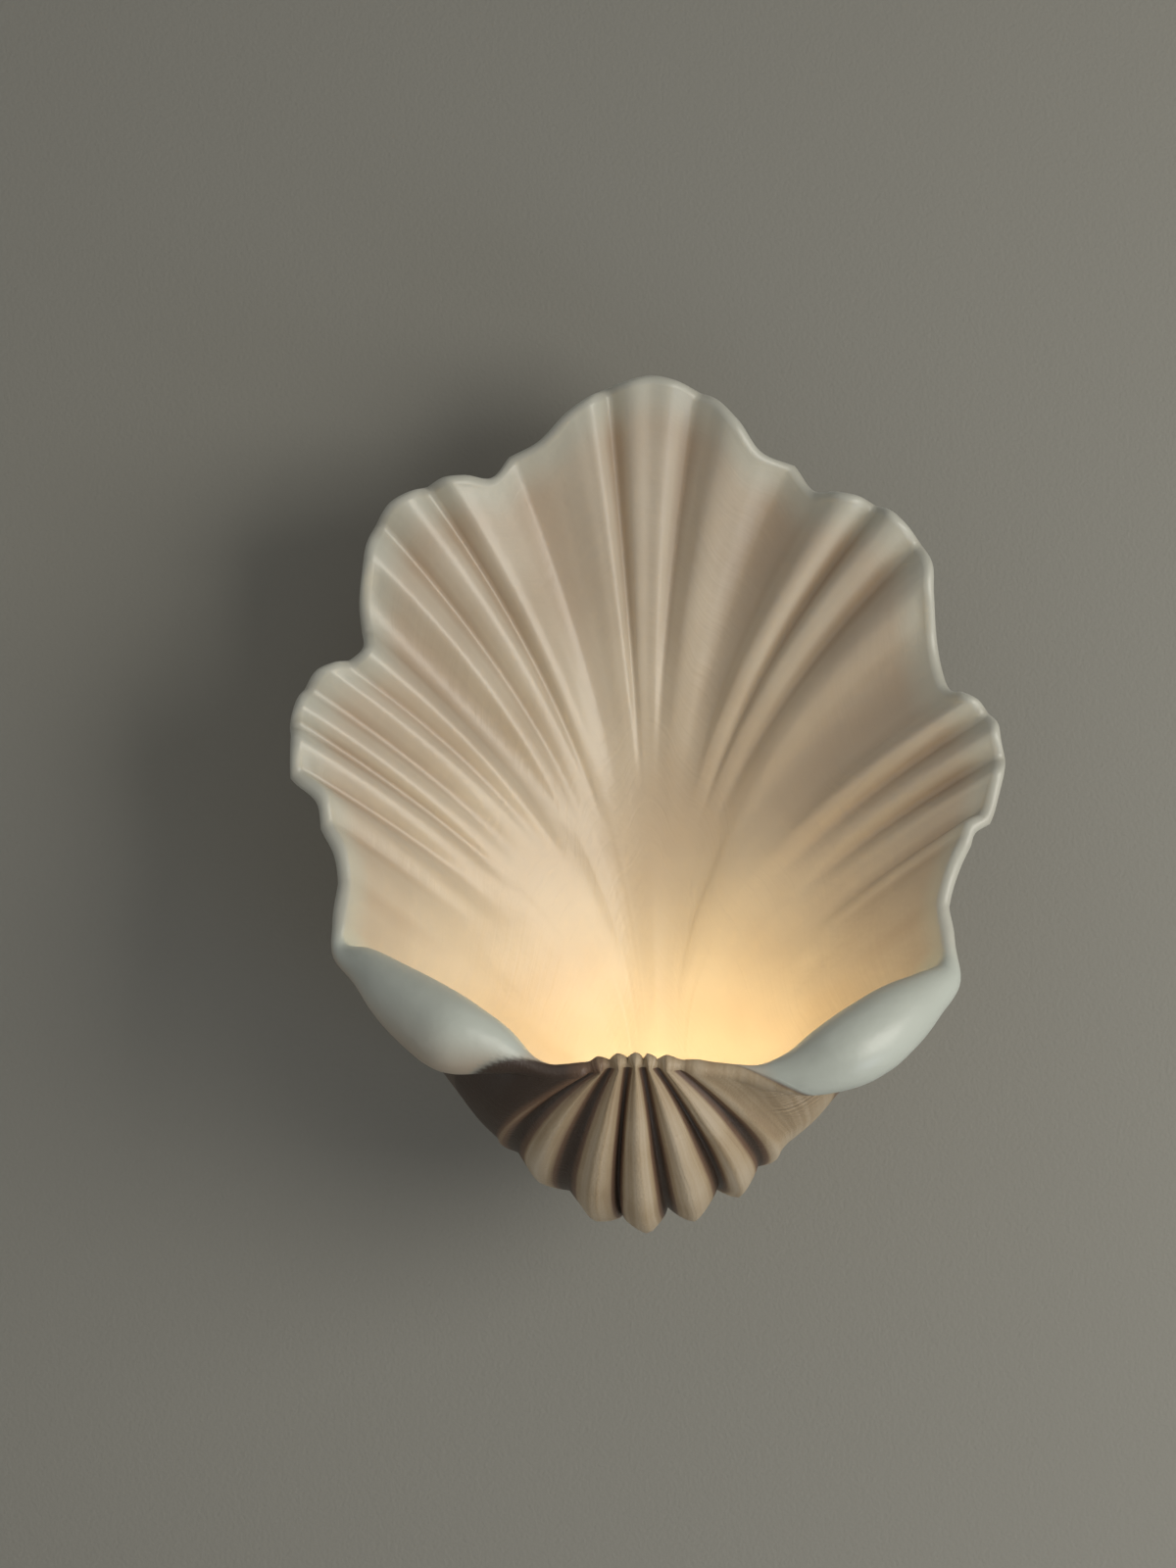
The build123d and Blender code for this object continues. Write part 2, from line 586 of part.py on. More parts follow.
with BuildPart() as lampholder:
    with BuildSketch(Plane.XZ.offset(holder_start)):
        with Locations((lamp_x, seat_z)):
            RectangleRounded(2 * saddle_half_x, 2 * holder_half_z, holder_corner)
            with Locations((-lead_x, 0), (lead_x, 0)):
                Circle(lead_r + clear, mode=Mode.SUBTRACT)
    extrude(amount=holder_l)
    # oval recess for the lamp's base, and the two wells of the contacts behind it
    with BuildSketch(Plane.XZ.offset(holder_end - recess_l)):
        with Locations((lamp_x, seat_z)):
            SlotOverall(2 * (base_half_x + base_gap), 2 * (base_half_z + base_gap))
    extrude(amount=recess_l, mode=Mode.SUBTRACT)
    with BuildSketch(Plane.XZ.offset(holder_end - recess_l - well_l)):
        with Locations((lamp_x - pin_x, seat_z), (lamp_x + pin_x, seat_z)):
            Circle(clip_r + fit)
    extrude(amount=well_l, mode=Mode.SUBTRACT)
    for start in (lamp_x - saddle_half_x, lamp_x + saddle_half_x - cross_l):
        with BuildSketch(Plane.YZ.offset(start)):
            with Locations((-cross_y, seat_z)):
                Circle(cross_r)
        extrude(amount=cross_l, mode=Mode.SUBTRACT)
lampholder.part.label = "lampholder"
export_step(lampholder.part, "parts/lampholder.step")

with BuildPart() as saddle_screws:
    for side in (-1, 1):
        root = Plane((lamp_x + side * (saddle_half_x - cross_l), -cross_y, seat_z), z_dir=(side, 0, 0))
        with BuildSketch(root):
            Circle(cross_r - fit)
        extrude(amount=cross_l + saddle_t)
        with BuildSketch(root.offset(cross_l + saddle_t)):
            Circle(cross_head_r)
        extrude(amount=cross_head_h)
saddle_screws.part.label = "saddle_screws"
export_step(saddle_screws.part, "parts/saddle_screws.step")

with BuildPart() as contact_clips:
    with BuildSketch(Plane.XZ.offset(holder_end - recess_l - well_l)):
        with Locations((lamp_x - pin_x, seat_z), (lamp_x + pin_x, seat_z)):
            Circle(clip_r)
            Circle(clip_bore, mode=Mode.SUBTRACT)
    extrude(amount=pin_l)
contact_clips.part.label = "contact_clips"
export_step(contact_clips.part, "parts/contact_clips.step")

# ---------------------------------------------------------------- capsule lamp
base_start = holder_end - recess_l + clear
glass_start = base_start + base_l
dome_y = glass_start + glass_l - glass_r

with BuildPart() as bulb_glass:
    with BuildSketch(Plane.XZ.offset(base_start)):
        with Locations((lamp_x, seat_z)):
            SlotOverall(2 * base_half_x, 2 * base_half_z)
            with Locations((-pin_x, 0), (pin_x, 0)):
                Circle(pin_r, mode=Mode.SUBTRACT)
    extrude(amount=base_l)
    # capsule: a thin walled tube with a round end, closed over the base
    bulb_plane = Plane((lamp_x, 0, seat_z), x_dir=(1, 0, 0), z_dir=(0, 0, 1))
    for radius, start, mode in ((glass_r, glass_start, Mode.ADD),
                                (glass_r - glass_wall, glass_start + glass_wall, Mode.SUBTRACT)):
        with BuildSketch(bulb_plane):
            with BuildLine():
                Polyline((0, -dome_y - radius), (0, -start), (radius, -start), (radius, -dome_y))
                RadiusArc((radius, -dome_y), (0, -dome_y - radius), radius)
            make_face()
        revolve(axis=Axis((lamp_x, 0, seat_z), (0, 1, 0)), mode=mode)
bulb_glass.part.label = "bulb_glass"
export_step(bulb_glass.part, "parts/bulb_glass.step")

with BuildPart() as bulb_pins:
    with BuildSketch(Plane.XZ.offset(base_start - pin_l)):
        with Locations((lamp_x - pin_x, seat_z), (lamp_x + pin_x, seat_z)):
            Circle(pin_r)
    extrude(amount=pin_l + base_l - seal_l)
bulb_pins.part.label = "bulb_pins"
export_step(bulb_pins.part, "parts/bulb_pins.step")

with BuildPart() as filament:
    # a coiled wire bent into a hoop, held by its two legs
    with BuildLine() as hoop:
        leg_start = glass_start + glass_wall + fit
        Polyline((lamp_x - filament_half, -leg_start, seat_z), (lamp_x - filament_half, -dome_y, seat_z))
        ThreePointArc(
            (lamp_x - filament_half, -dome_y, seat_z), (lamp_x, -dome_y - filament_half, seat_z),
            (lamp_x + filament_half, -dome_y, seat_z),
        )
        Polyline((lamp_x + filament_half, -dome_y, seat_z), (lamp_x + filament_half, -leg_start, seat_z))
    with BuildSketch(Plane((lamp_x - filament_half, -leg_start, seat_z), z_dir=(0, -1, 0))):
        Circle(filament_r)
    sweep(path=hoop.line)
filament.part.label = "filament"
export_step(filament.part, "parts/filament.step")

# ---------------------------------------------------------------- wiring
block_tubes = [(-way_pitch, block_z), (0, block_z), (way_pitch, block_z)]
tube_y = sheet + block_t / 2 - tube_drop
terminal_spots = [(x, z + side * block_half_z / 2) for x, z in block_tubes for side in (-1, 1)]

with BuildPart() as terminal_block:
    with BuildSketch(Plane.XZ.offset(sheet)):
        with Locations((0, block_z)):
            Rectangle(2 * block_half_x, 2 * block_half_z)
    extrude(amount=block_t)
    chamfer(terminal_block.edges().filter_by(Axis.X).sort_by(Axis.Y)[:2], block_chamfer)
    with BuildSketch(Plane.XY.offset(block_z - block_half_z)):
        with Locations(*[(x, -tube_y) for x, z in block_tubes]):
            Rectangle(2 * (tube_half + fit), 2 * (tube_half + fit))
    extrude(amount=2 * block_half_z, mode=Mode.SUBTRACT)
    with BuildSketch(Plane.XZ.offset(tube_y)):
        with Locations(*terminal_spots):
            Circle(terminal_head_r + clear)
        with Locations(*block_spots):
            Circle(screw_hole_r)
    extrude(amount=block_t, mode=Mode.SUBTRACT)
    with BuildSketch(Plane.XZ.offset(sheet)):
        with Locations(*block_spots):
            Circle(screw_hole_r)
    extrude(amount=block_t, mode=Mode.SUBTRACT)
terminal_block.part.label = "terminal_block"
export_step(terminal_block.part, "parts/terminal_block.step")

with BuildPart() as terminal_tubes:
    with BuildSketch(Plane.XY.offset(block_z - block_half_z + tube_margin)):
        with Locations(*[(x, -tube_y) for x, z in block_tubes]):
            Rectangle(2 * tube_half, 2 * tube_half)
            Circle(tube_bore, mode=Mode.SUBTRACT)
    extrude(amount=2 * (block_half_z - tube_margin))
terminal_tubes.part.label = "terminal_tubes"
export_step(terminal_tubes.part, "parts/terminal_tubes.step")

with BuildPart() as terminal_screws:
    with BuildSketch(Plane.XZ.offset(tube_y + tube_half)):
        with Locations(*terminal_spots):
            Circle(terminal_head_r)
    extrude(amount=terminal_screw_l)
terminal_screws.part.label = "terminal_screws"
export_step(terminal_screws.part, "parts/terminal_screws.step")

with BuildPart() as block_screws:
    with BuildSketch(Plane.XZ):
        with Locations(*block_spots):
            Circle(screw_hole_r - fit)
    extrude(amount=sheet + block_t)
    with BuildSketch(Plane.XZ.offset(sheet + block_t)):
        with Locations(*block_spots):
            Circle(block_head_r)
    extrude(amount=block_head_h)
block_screws.part.label = "block_screws"
export_step(block_screws.part, "parts/block_screws.step")

# two leads from the lampholder, through the hollow thread and up to the terminal block
for name, side in (("lead_live", -1), ("lead_neutral", 1)):
    way_x = side * way_pitch
    with BuildPart() as lead:
        with BuildLine() as route:
            FilletPolyline(
                (lamp_x + side * lead_x, -holder_start - lead_in, seat_z),
                (lamp_x + side * lead_x, -lead_back, seat_z),
                (way_x + side * lead_x, -lead_back + lead_step, seat_z + lead_rise),
                (way_x, -tube_y, block_z - block_half_z - lead_drop),
                (way_x, -tube_y, block_z - block_half_z + lead_end),
                radius=lead_bends,
            )
        with BuildSketch(Plane(route.line @ 0, z_dir=route.line % 0)):
            Circle(lead_r)
        sweep(path=route.line)
    lead.part.label = name
    export_step(lead.part, f"parts/{name}.step")

# ---------------------------------------------------------------- earth connection
with BuildPart() as earth_stud:
    with BuildSketch(Plane.XZ):
        with Locations((earth_x, earth_z)):
            Circle(screw_r - fit)
    extrude(amount=earth_stud_l)
earth_stud.part.label = "earth_stud"
export_step(earth_stud.part, "parts/earth_stud.step")

with BuildPart() as earth_washer:
    with BuildSketch(Plane.XZ.offset(sheet)):
        with Locations((earth_x, earth_z)):
            Circle(earth_washer_r)
            Circle(screw_r + snug, mode=Mode.SUBTRACT)
    extrude(amount=washer_t)
earth_washer.part.label = "earth_washer"
export_step(earth_washer.part, "parts/earth_washer.step")

ring_face = sheet + washer_t
barrel_x = earth_x - ring_r - neck_l                     # end of the barrel towards the ring

with BuildPart() as earth_ring:
    with BuildSketch(Plane.XZ.offset(ring_face)):
        with Locations((earth_x, earth_z)):
            Circle(ring_r)
            with Locations((-ring_r - neck_l / 2 + neck_overlap / 2, 0)):
                Rectangle(neck_l + neck_overlap, neck_w)
            Circle(screw_r + snug, mode=Mode.SUBTRACT)
    extrude(amount=ring_t)
    # crimped barrel that grips the earth lead
    with BuildSketch(Plane.YZ.offset(barrel_x - barrel_l)):
        with Locations((-ring_face - barrel_r, earth_z)):
            Circle(barrel_r)
            Circle(lead_r, mode=Mode.SUBTRACT)
    extrude(amount=barrel_l)
earth_ring.part.label = "earth_ring"
export_step(earth_ring.part, "parts/earth_ring.step")

with BuildPart() as earth_nut:
    with BuildSketch(Plane.XZ.offset(ring_face + ring_t)):
        with Locations((earth_x, earth_z)):
            RegularPolygon(earth_nut_af / 2, 6, major_radius=False)
            Circle(screw_r, mode=Mode.SUBTRACT)
    extrude(amount=earth_nut_h)
earth_nut.part.label = "earth_nut"
export_step(earth_nut.part, "parts/earth_nut.step")

with BuildPart() as earth_lead:
    with BuildLine() as route:
        FilletPolyline(
            (barrel_x - earth_spare, -ring_face - barrel_r, earth_z),
            (barrel_x - barrel_l - earth_run, -ring_face - barrel_r, earth_z),
            (0, -tube_y, earth_z + earth_rise),
            (0, -tube_y, block_z + block_half_z - lead_end),
            radius=earth_bends,
        )
    with BuildSketch(Plane(route.line @ 0, z_dir=route.line % 0)):
        Circle(lead_r - fit)
    sweep(path=route.line)
earth_lead.part.label = "earth_lead"
export_step(earth_lead.part, "parts/earth_lead.step")
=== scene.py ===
import sys
import json
import logging
import math
from dataclasses import dataclass
from enum import Enum
from typing import Sequence

import bmesh
import bpy
import numpy as np
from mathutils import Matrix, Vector


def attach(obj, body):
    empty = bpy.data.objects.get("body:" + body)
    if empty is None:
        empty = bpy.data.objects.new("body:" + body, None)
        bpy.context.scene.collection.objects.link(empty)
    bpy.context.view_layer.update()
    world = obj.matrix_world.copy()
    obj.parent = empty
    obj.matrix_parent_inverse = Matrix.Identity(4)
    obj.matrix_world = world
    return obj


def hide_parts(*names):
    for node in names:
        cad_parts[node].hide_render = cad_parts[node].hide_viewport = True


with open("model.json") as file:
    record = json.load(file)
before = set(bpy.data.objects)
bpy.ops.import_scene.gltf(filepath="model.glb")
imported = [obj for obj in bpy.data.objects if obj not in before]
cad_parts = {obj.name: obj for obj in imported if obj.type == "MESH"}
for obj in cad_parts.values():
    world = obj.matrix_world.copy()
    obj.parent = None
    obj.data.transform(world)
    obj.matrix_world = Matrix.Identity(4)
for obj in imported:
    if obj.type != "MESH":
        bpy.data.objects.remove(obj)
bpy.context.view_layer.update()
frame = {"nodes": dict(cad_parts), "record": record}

# Looks of a shell wall sconce: a glazed clam-shell bowl with a rolled lip and a ribbed beak, lit
# from inside, on its steel wall plate. Metres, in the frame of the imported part: +X to the right as
# seen from the room, +Y into the wall, +Z up, the wall's face at y = 0.

MM = 0.001
log = logging.getLogger("sconce")

Signal = bpy.types.NodeSocket | float
Materials = dict[str, bpy.types.Material]


# ---------------------------------------------------------------- colour and nodes
def linear(hex_colour: str) -> tuple[float, float, float, float]:
    """Turn an sRGB hex colour into Blender's linear colour.

    Args:
        hex_colour: Six hex digits, with or without a leading hash.

    Returns:
        Red, green, blue and an alpha of 1.
    """
    digits = hex_colour.lstrip("#")
    channels = [int(digits[k:k + 2], 16) / 255 for k in (0, 2, 4)]
    scene = [c / 12.92 if c <= 0.04045 else ((c + 0.055) / 1.055) ** 2.4 for c in channels]
    return (scene[0], scene[1], scene[2], 1.0)


def add(tree: bpy.types.NodeTree, kind: str, inputs: dict | None = None, **settings) -> bpy.types.Node:
    """Add one node with its settings, values and links.

    Args:
        tree: The material's or world's node tree.
        kind: Blender's name of the node's type.
        inputs: Socket name or number to a value, or to the output socket that feeds it.
        settings: Properties of the node itself.

    Returns:
        The new node.
    """
    node = tree.nodes.new(kind)
    for name, value in settings.items():
        setattr(node, name, value)
    for name, value in (inputs or {}).items():
        socket = node.inputs[name]
        if isinstance(value, bpy.types.NodeSocket):
            tree.links.new(value, socket)
        else:
            socket.default_value = value
    return node


# ---------------------------------------------------------------- finishes
@dataclass(frozen=True)
class Finish:
    """A surface finish: one colour, its gloss, and a fine grain in gloss and relief."""

    name: str
    colour: str
    roughness: float
    metallic: float = 0.0
    ior: float = 1.5
    grain_mm: float = 1.0
    relief_mm: float = 0.01
    gloss_spread: float = 0.08
    tone_spread: float = 0.06

    def material(self) -> bpy.types.Material:
        """Make the material, with the shader's constants on its own sockets.

        Returns:
            The new material.
        """
        paint = bpy.data.materials.new(self.name)
        paint.use_nodes = True
        tree = paint.node_tree
        shader = tree.nodes["Principled BSDF"]
        shader.inputs["Base Color"].default_value = linear(self.colour)
        shader.inputs["Roughness"].default_value = self.roughness
        shader.inputs["Metallic"].default_value = self.metallic
        if self.metallic < 0.5:
            shader.inputs["IOR"].default_value = self.ior
        self.pattern(tree, shader)
        return paint

    def place(self, tree: bpy.types.NodeTree, stretch: Sequence[float] = (1, 1, 1)) -> bpy.types.NodeSocket:
        """Give the object's own coordinates in metres, stretched along its axes."""
        coordinates = add(tree, "ShaderNodeTexCoord")
        return add(tree, "ShaderNodeMapping", {"Vector": coordinates.outputs["Object"],
                                               "Scale": tuple(stretch)}).outputs["Vector"]

    def grain(self, tree: bpy.types.NodeTree, size_mm: float,
              stretch: Sequence[float] = (1, 1, 1), detail: float = 3.0) -> bpy.types.NodeSocket:
        """Give a noise from 0 to 1 whose blotches are size_mm wide."""
        return add(tree, "ShaderNodeTexNoise", {"Vector": self.place(tree, stretch),
                                                "Scale": 1 / (size_mm * MM),
                                                "Detail": detail}).outputs["Fac"]

    def pattern(self, tree: bpy.types.NodeTree, shader: bpy.types.Node) -> None:
        """Let gloss, tone and relief follow the grain."""
        self.weather(tree, shader, self.grain(tree, self.grain_mm))

    def weather(self, tree: bpy.types.NodeTree, shader: bpy.types.Node, grain: bpy.types.NodeSocket) -> None:
        """Let gloss, tone and relief follow a given pattern.

        Args:
            tree: The material's node tree.
            shader: Its Principled BSDF.
            grain: The pattern, from 0 to 1.
        """
        gloss = add(tree, "ShaderNodeMapRange", {"Value": grain,
                                                 "To Min": max(0.02, self.roughness - self.gloss_spread),
                                                 "To Max": min(1.0, self.roughness + self.gloss_spread)})
        tone = add(tree, "ShaderNodeMapRange", {"Value": grain, "From Min": 0.3, "From Max": 0.7,
                                                "To Min": 1 - self.tone_spread,
                                                "To Max": 1 + self.tone_spread})
        shade = add(tree, "ShaderNodeHueSaturation", {"Value": tone.outputs["Result"],
                                                      "Color": linear(self.colour)})
        bump = add(tree, "ShaderNodeBump", {"Height": grain, "Distance": self.relief_mm * MM})
        tree.links.new(gloss.outputs["Result"], shader.inputs["Roughness"])
        tree.links.new(shade.outputs["Color"], shader.inputs["Base Color"])
        tree.links.new(bump.outputs["Normal"], shader.inputs["Normal"])


@dataclass(frozen=True)
class RolledSheet(Finish):
    """Zinc plated steel sheet: fine rolling lines along the sheet give a stretched, satin glint."""

    stretch: tuple[float, float, float] = (1.0, 1.0, 0.06)

    def pattern(self, tree: bpy.types.NodeTree, shader: bpy.types.Node) -> None:
        """Stretch the grain along the rolling direction."""
        self.weather(tree, shader, self.grain(tree, self.grain_mm, self.stretch))


@dataclass(frozen=True)
class ClearQuartz(Finish):
    """Fused quartz of a capsule lamp: clear, with faint drawing streaks along its length."""

    def pattern(self, tree: bpy.types.NodeTree, shader: bpy.types.Node) -> None:
        """Let light through, and add the streaks as relief only."""
        shader.inputs["Transmission Weight"].default_value = 1.0
        bump = add(tree, "ShaderNodeBump", {"Height": self.grain(tree, self.grain_mm, (1, 0.1, 1)),
                                            "Distance": self.relief_mm * MM})
        tree.links.new(bump.outputs["Normal"], shader.inputs["Normal"])


@dataclass(frozen=True)
class GlowingTungsten(Finish):
    """Tungsten coil at work: it glows warm white."""

    glow: str = "#ffc98a"
    strength: float = 12.0

    def pattern(self, tree: bpy.types.NodeTree, shader: bpy.types.Node) -> None:
        """Light the wire evenly over its fine grain."""
        self.weather(tree, shader, self.grain(tree, self.grain_mm))
        shader.inputs["Emission Color"].default_value = linear(self.glow)
        shader.inputs["Emission Strength"].default_value = self.strength


@dataclass(frozen=True)
class StripedSleeve(Finish):
    """Earth lead's sleeve: green, with a yellow stripe along it."""

    stripe: str = "#d8c62a"
    pitch_mm: float = 2.6

    def pattern(self, tree: bpy.types.NodeTree, shader: bpy.types.Node) -> None:
        """Lay the stripe over the grain."""
        self.weather(tree, shader, self.grain(tree, self.grain_mm))
        wave = add(tree, "ShaderNodeTexWave", {"Vector": self.place(tree),
                                               "Scale": 0.314 / (self.pitch_mm * MM)},
                   wave_type="BANDS", bands_direction="Z")
        edge = add(tree, "ShaderNodeMapRange", {"Value": wave.outputs["Fac"],
                                                "From Min": 0.62, "From Max": 0.68})
        mix = add(tree, "ShaderNodeMix", {0: edge.outputs["Result"], 6: linear(self.colour),
                                          7: linear(self.stripe)}, data_type="RGBA")
        tree.links.new(mix.outputs[2], shader.inputs["Base Color"])


@dataclass(frozen=True)
class GlazedCasting(Finish):
    """Cast stoneware under a cream satin glaze.

    The glaze is thick and greenish white on the lip, and tan painted shade darkens the flutes'
    grooves and the webs between lobes. The beak's underside is left bare, paler on its crests and
    brown between them, partly brown patina and partly painted shade, and streaked along its ribs.
    Painted shade also darkens the beak's left, the crease under the lip and the left roll's front,
    and painted light pales the beak's right.
    """

    # tan painted shade for the glaze's grooves and webs; on the bare clay a pale ground and browns that
    # darken with patina and painted shade
    groove: str = "#a6917a"
    lip: str = "#c4cac0"
    crest: str = "#eae2d0"
    sand: str = "#b09b7c"
    red_brown: str = "#6c523e"
    dark_patina_and_shade: str = "#35261b"
    cloud_mm: float = 60.0
    peel_mm: float = 7.0
    growth_mm: float = 3.4
    streak_mm: float = 4.0
    sand_mm: float = 1.1
    sway_mm: float = 22.0
    wrinkle_relief_mm: float = 0.7
    sand_relief_mm: float = 0.3
    clay_roughness: float = 0.42

    def stripes(self, tree: bpy.types.NodeTree, along: bpy.types.NodeSocket, width_mm: float,
                sway: float) -> bpy.types.NodeSocket:
        """Give uneven stripes from 0 to 1 that follow a mark of the casting.

        Args:
            tree: The material's node tree.
            along: The mark that grows from stripe to stripe, in metres.
            width_mm: How wide a stripe is.
            sway: How far the stripes wander, in millimetres.

        Returns:
            A noise along one line, read at the mark plus a slow noise of the place.
        """
        place = self.total(tree, along, (self.grain(tree, self.sway_mm, detail=1.0), sway * MM))
        return add(tree, "ShaderNodeTexNoise", {"W": place, "Scale": 1 / (width_mm * MM), "Detail": 3.0},
                   noise_dimensions="1D").outputs["Fac"]

    def total(self, tree: bpy.types.NodeTree, start: Signal, *terms: tuple[Signal, Signal]) -> Signal:
        """Give start plus the sum of each term's value times its factor."""
        for value, factor in terms:
            start = add(tree, "ShaderNodeMath", {0: value, 1: factor, 2: start},
                        operation="MULTIPLY_ADD").outputs["Value"]
        return start

    def layers(self, tree: bpy.types.NodeTree, ground: str,
               coats: Sequence[tuple[Signal, float, float, float, str]]) -> bpy.types.NodeSocket:
        """Lay coats of colour over a ground, one on the other.

        Args:
            tree: The material's node tree.
            ground: The colour below them all.
            coats: For each coat the value that it follows, where that value starts and ends to
                count, how much the coat covers at most, and its colour.

        Returns:
            The colour on top.
        """
        colour = linear(ground)
        for value, start, end, cover, tone in coats:
            share = add(tree, "ShaderNodeMapRange", {"Value": value, "From Min": start, "From Max": end,
                                                     "To Max": cover})
            colour = add(tree, "ShaderNodeMix", {0: share.outputs["Result"], 6: colour, 7: linear(tone)},
                         data_type="RGBA").outputs[2]
        return colour

    def pattern(self, tree: bpy.types.NodeTree, shader: bpy.types.Node) -> None:
        """Lay glaze, bare clay, brown patina and painted shade by the marks that the casting carries."""
        outside, lip, hollow, wrinkled, rows, columns = (
            add(tree, "ShaderNodeAttribute", attribute_name=name).outputs["Fac"]
            for name in ("outside", "lip", "hollow", "wrinkled", "growth", "across"))
        cloud = self.grain(tree, self.cloud_mm, detail=2.0)
        peel = self.grain(tree, self.peel_mm, detail=2.0)
        sand = self.grain(tree, self.sand_mm, detail=5.0)
        growth = self.stripes(tree, rows, self.growth_mm, 6.0)
        streaks = self.stripes(tree, columns, self.streak_mm, 3.0)
        # glaze: cream, clouded tan at random, tan painted shade in the grooves and webs, greenish white on
        # the lip
        glaze = self.layers(tree, self.colour, ((cloud, 0.35, 0.65, 0.3, self.groove),
                                                (hollow, 0.1, 1.1, 0.8, self.groove),
                                                (lip, 0.0, 1.0, 1.0, self.lip)))
        # bare clay: each tone takes over as the hollow mark grows; that mark is brown patina in the grooves
        # and painted shade
        depth = self.total(tree, 0.26, (hollow, 0.78), (streaks, 0.16), (cloud, 0.3))
        clay = self.layers(tree, self.crest, ((depth, 0.2, 0.52, 1.0, self.sand),
                                              (depth, 0.5, 0.72, 1.0, self.red_brown),
                                              (depth, 0.78, 1.05, 1.0, self.dark_patina_and_shade)))
        colour = add(tree, "ShaderNodeMix", {0: outside, 6: glaze, 7: clay}, data_type="RGBA")
        tree.links.new(colour.outputs[2], shader.inputs["Base Color"])
        gloss = add(tree, "ShaderNodeMapRange", {"Value": outside, "To Min": self.roughness,
                                                 "To Max": self.clay_roughness})
        tree.links.new(gloss.outputs["Result"], shader.inputs["Roughness"])
        # relief: orange peel and faint growth lines in the glaze, sand grains, wrinkles and
        # streaks in the bare clay
        wrinkles = self.total(tree, 0.0, (streaks, self.total(tree, 0.0, (outside, 0.5))),
                              (growth, self.total(tree, 0.2, (wrinkled, 2.4))))
        grit = self.total(tree, 0.0, (sand, outside))
        first = add(tree, "ShaderNodeBump", {"Height": peel, "Distance": self.relief_mm * MM})
        second = add(tree, "ShaderNodeBump", {"Height": wrinkles, "Distance": self.wrinkle_relief_mm * MM,
                                              "Normal": first.outputs["Normal"]})
        third = add(tree, "ShaderNodeBump", {"Height": grit, "Distance": self.sand_relief_mm * MM,
                                             "Normal": second.outputs["Normal"]})
        tree.links.new(third.outputs["Normal"], shader.inputs["Normal"])


# ---------------------------------------------------------------- surfaces
def surface(name: str, grids: Sequence[np.ndarray], close_rows: bool,
            close_columns: bool) -> bpy.types.Object:
    """Make one mesh of one or more grids of points: quads between neighbouring rows and columns,
    wound so that the column direction cross the row direction points outwards.

    Args:
        name: The piece's name.
        grids: Arrays of rows x columns x 3, in metres.
        close_rows: Join the last row of each grid to its first.
        close_columns: Join the last column of each grid to its first.

    Returns:
        The new object, smooth shaded, at the origin.
    """
    quads, first = [], 0
    for points in grids:
        rows, columns = points.shape[:2]
        i = np.arange(rows if close_rows else rows - 1)[:, None]
        j = np.arange(columns if close_columns else columns - 1)[None, :]
        here, below, right = first + i * columns, first + (i + 1) % rows * columns, (j + 1) % columns
        quads.append(np.stack([here + j, here + right, below + right, below + j], axis=-1).reshape(-1, 4))
        first += rows * columns
    mesh = bpy.data.meshes.new(name)
    mesh.from_pydata(np.concatenate([points.reshape(-1, 3) for points in grids]), [], np.concatenate(quads))
    mesh.shade_smooth()
    piece = bpy.data.objects.new(name, mesh)
    bpy.context.scene.collection.objects.link(piece)
    return piece


def mark(piece: bpy.types.Object, name: str, values: np.ndarray) -> None:
    """Store one number for each vertex, for the finish to read."""
    attribute = piece.data.attributes.new(name, "FLOAT", "POINT")
    attribute.data.foreach_set("value", values.astype(np.float32).ravel())


def smooth_step(share: np.ndarray) -> np.ndarray:
    """0 below 0, 1 above 1, and an S curve 3t² - 2t³ between."""
    t = np.clip(share, 0, 1)
    return t * t * (3 - 2 * t)


def ramp(value: np.ndarray, change: tuple[float, float]) -> np.ndarray:
    """0 where the change starts, 1 at the end of its length, straight between and beyond."""
    return (value - change[0]) / change[1]


def reading(table: Sequence[tuple[float, float]], at: np.ndarray) -> np.ndarray:
    """Read a short table of (place, value) smoothly, with no overshoot.

    Each span is a cubic whose end slopes are the harmonic mean of the two spans that meet there,
    and level at the table's ends.

    Args:
        table: Places in rising order, with their values.
        at: Places to read.

    Returns:
        The values there.
    """
    place, value = np.array(table, float).T
    width = np.diff(place)
    slope = np.diff(value) / width
    product = slope[:-1] * slope[1:]
    total = slope[:-1] + slope[1:]
    bend = np.where(product > 0, 2 * product / np.where(total == 0, 1, total), 0)
    bend = np.concatenate([[0], bend, [0]])
    k = np.clip(np.searchsorted(place, at) - 1, 0, len(width) - 1)
    t = np.clip((at - place[k]) / width[k], 0, 1)
    rise = value[k] * (1 + 2 * t) * (1 - t) ** 2 + value[k + 1] * t * t * (3 - 2 * t)
    return rise + width[k] * (bend[k] * t * (1 - t) ** 2 - bend[k + 1] * t * t * (1 - t))


def unit(vectors: np.ndarray) -> np.ndarray:
    """Each vector divided by its length."""
    return vectors / np.linalg.norm(vectors, axis=-1, keepdims=True)


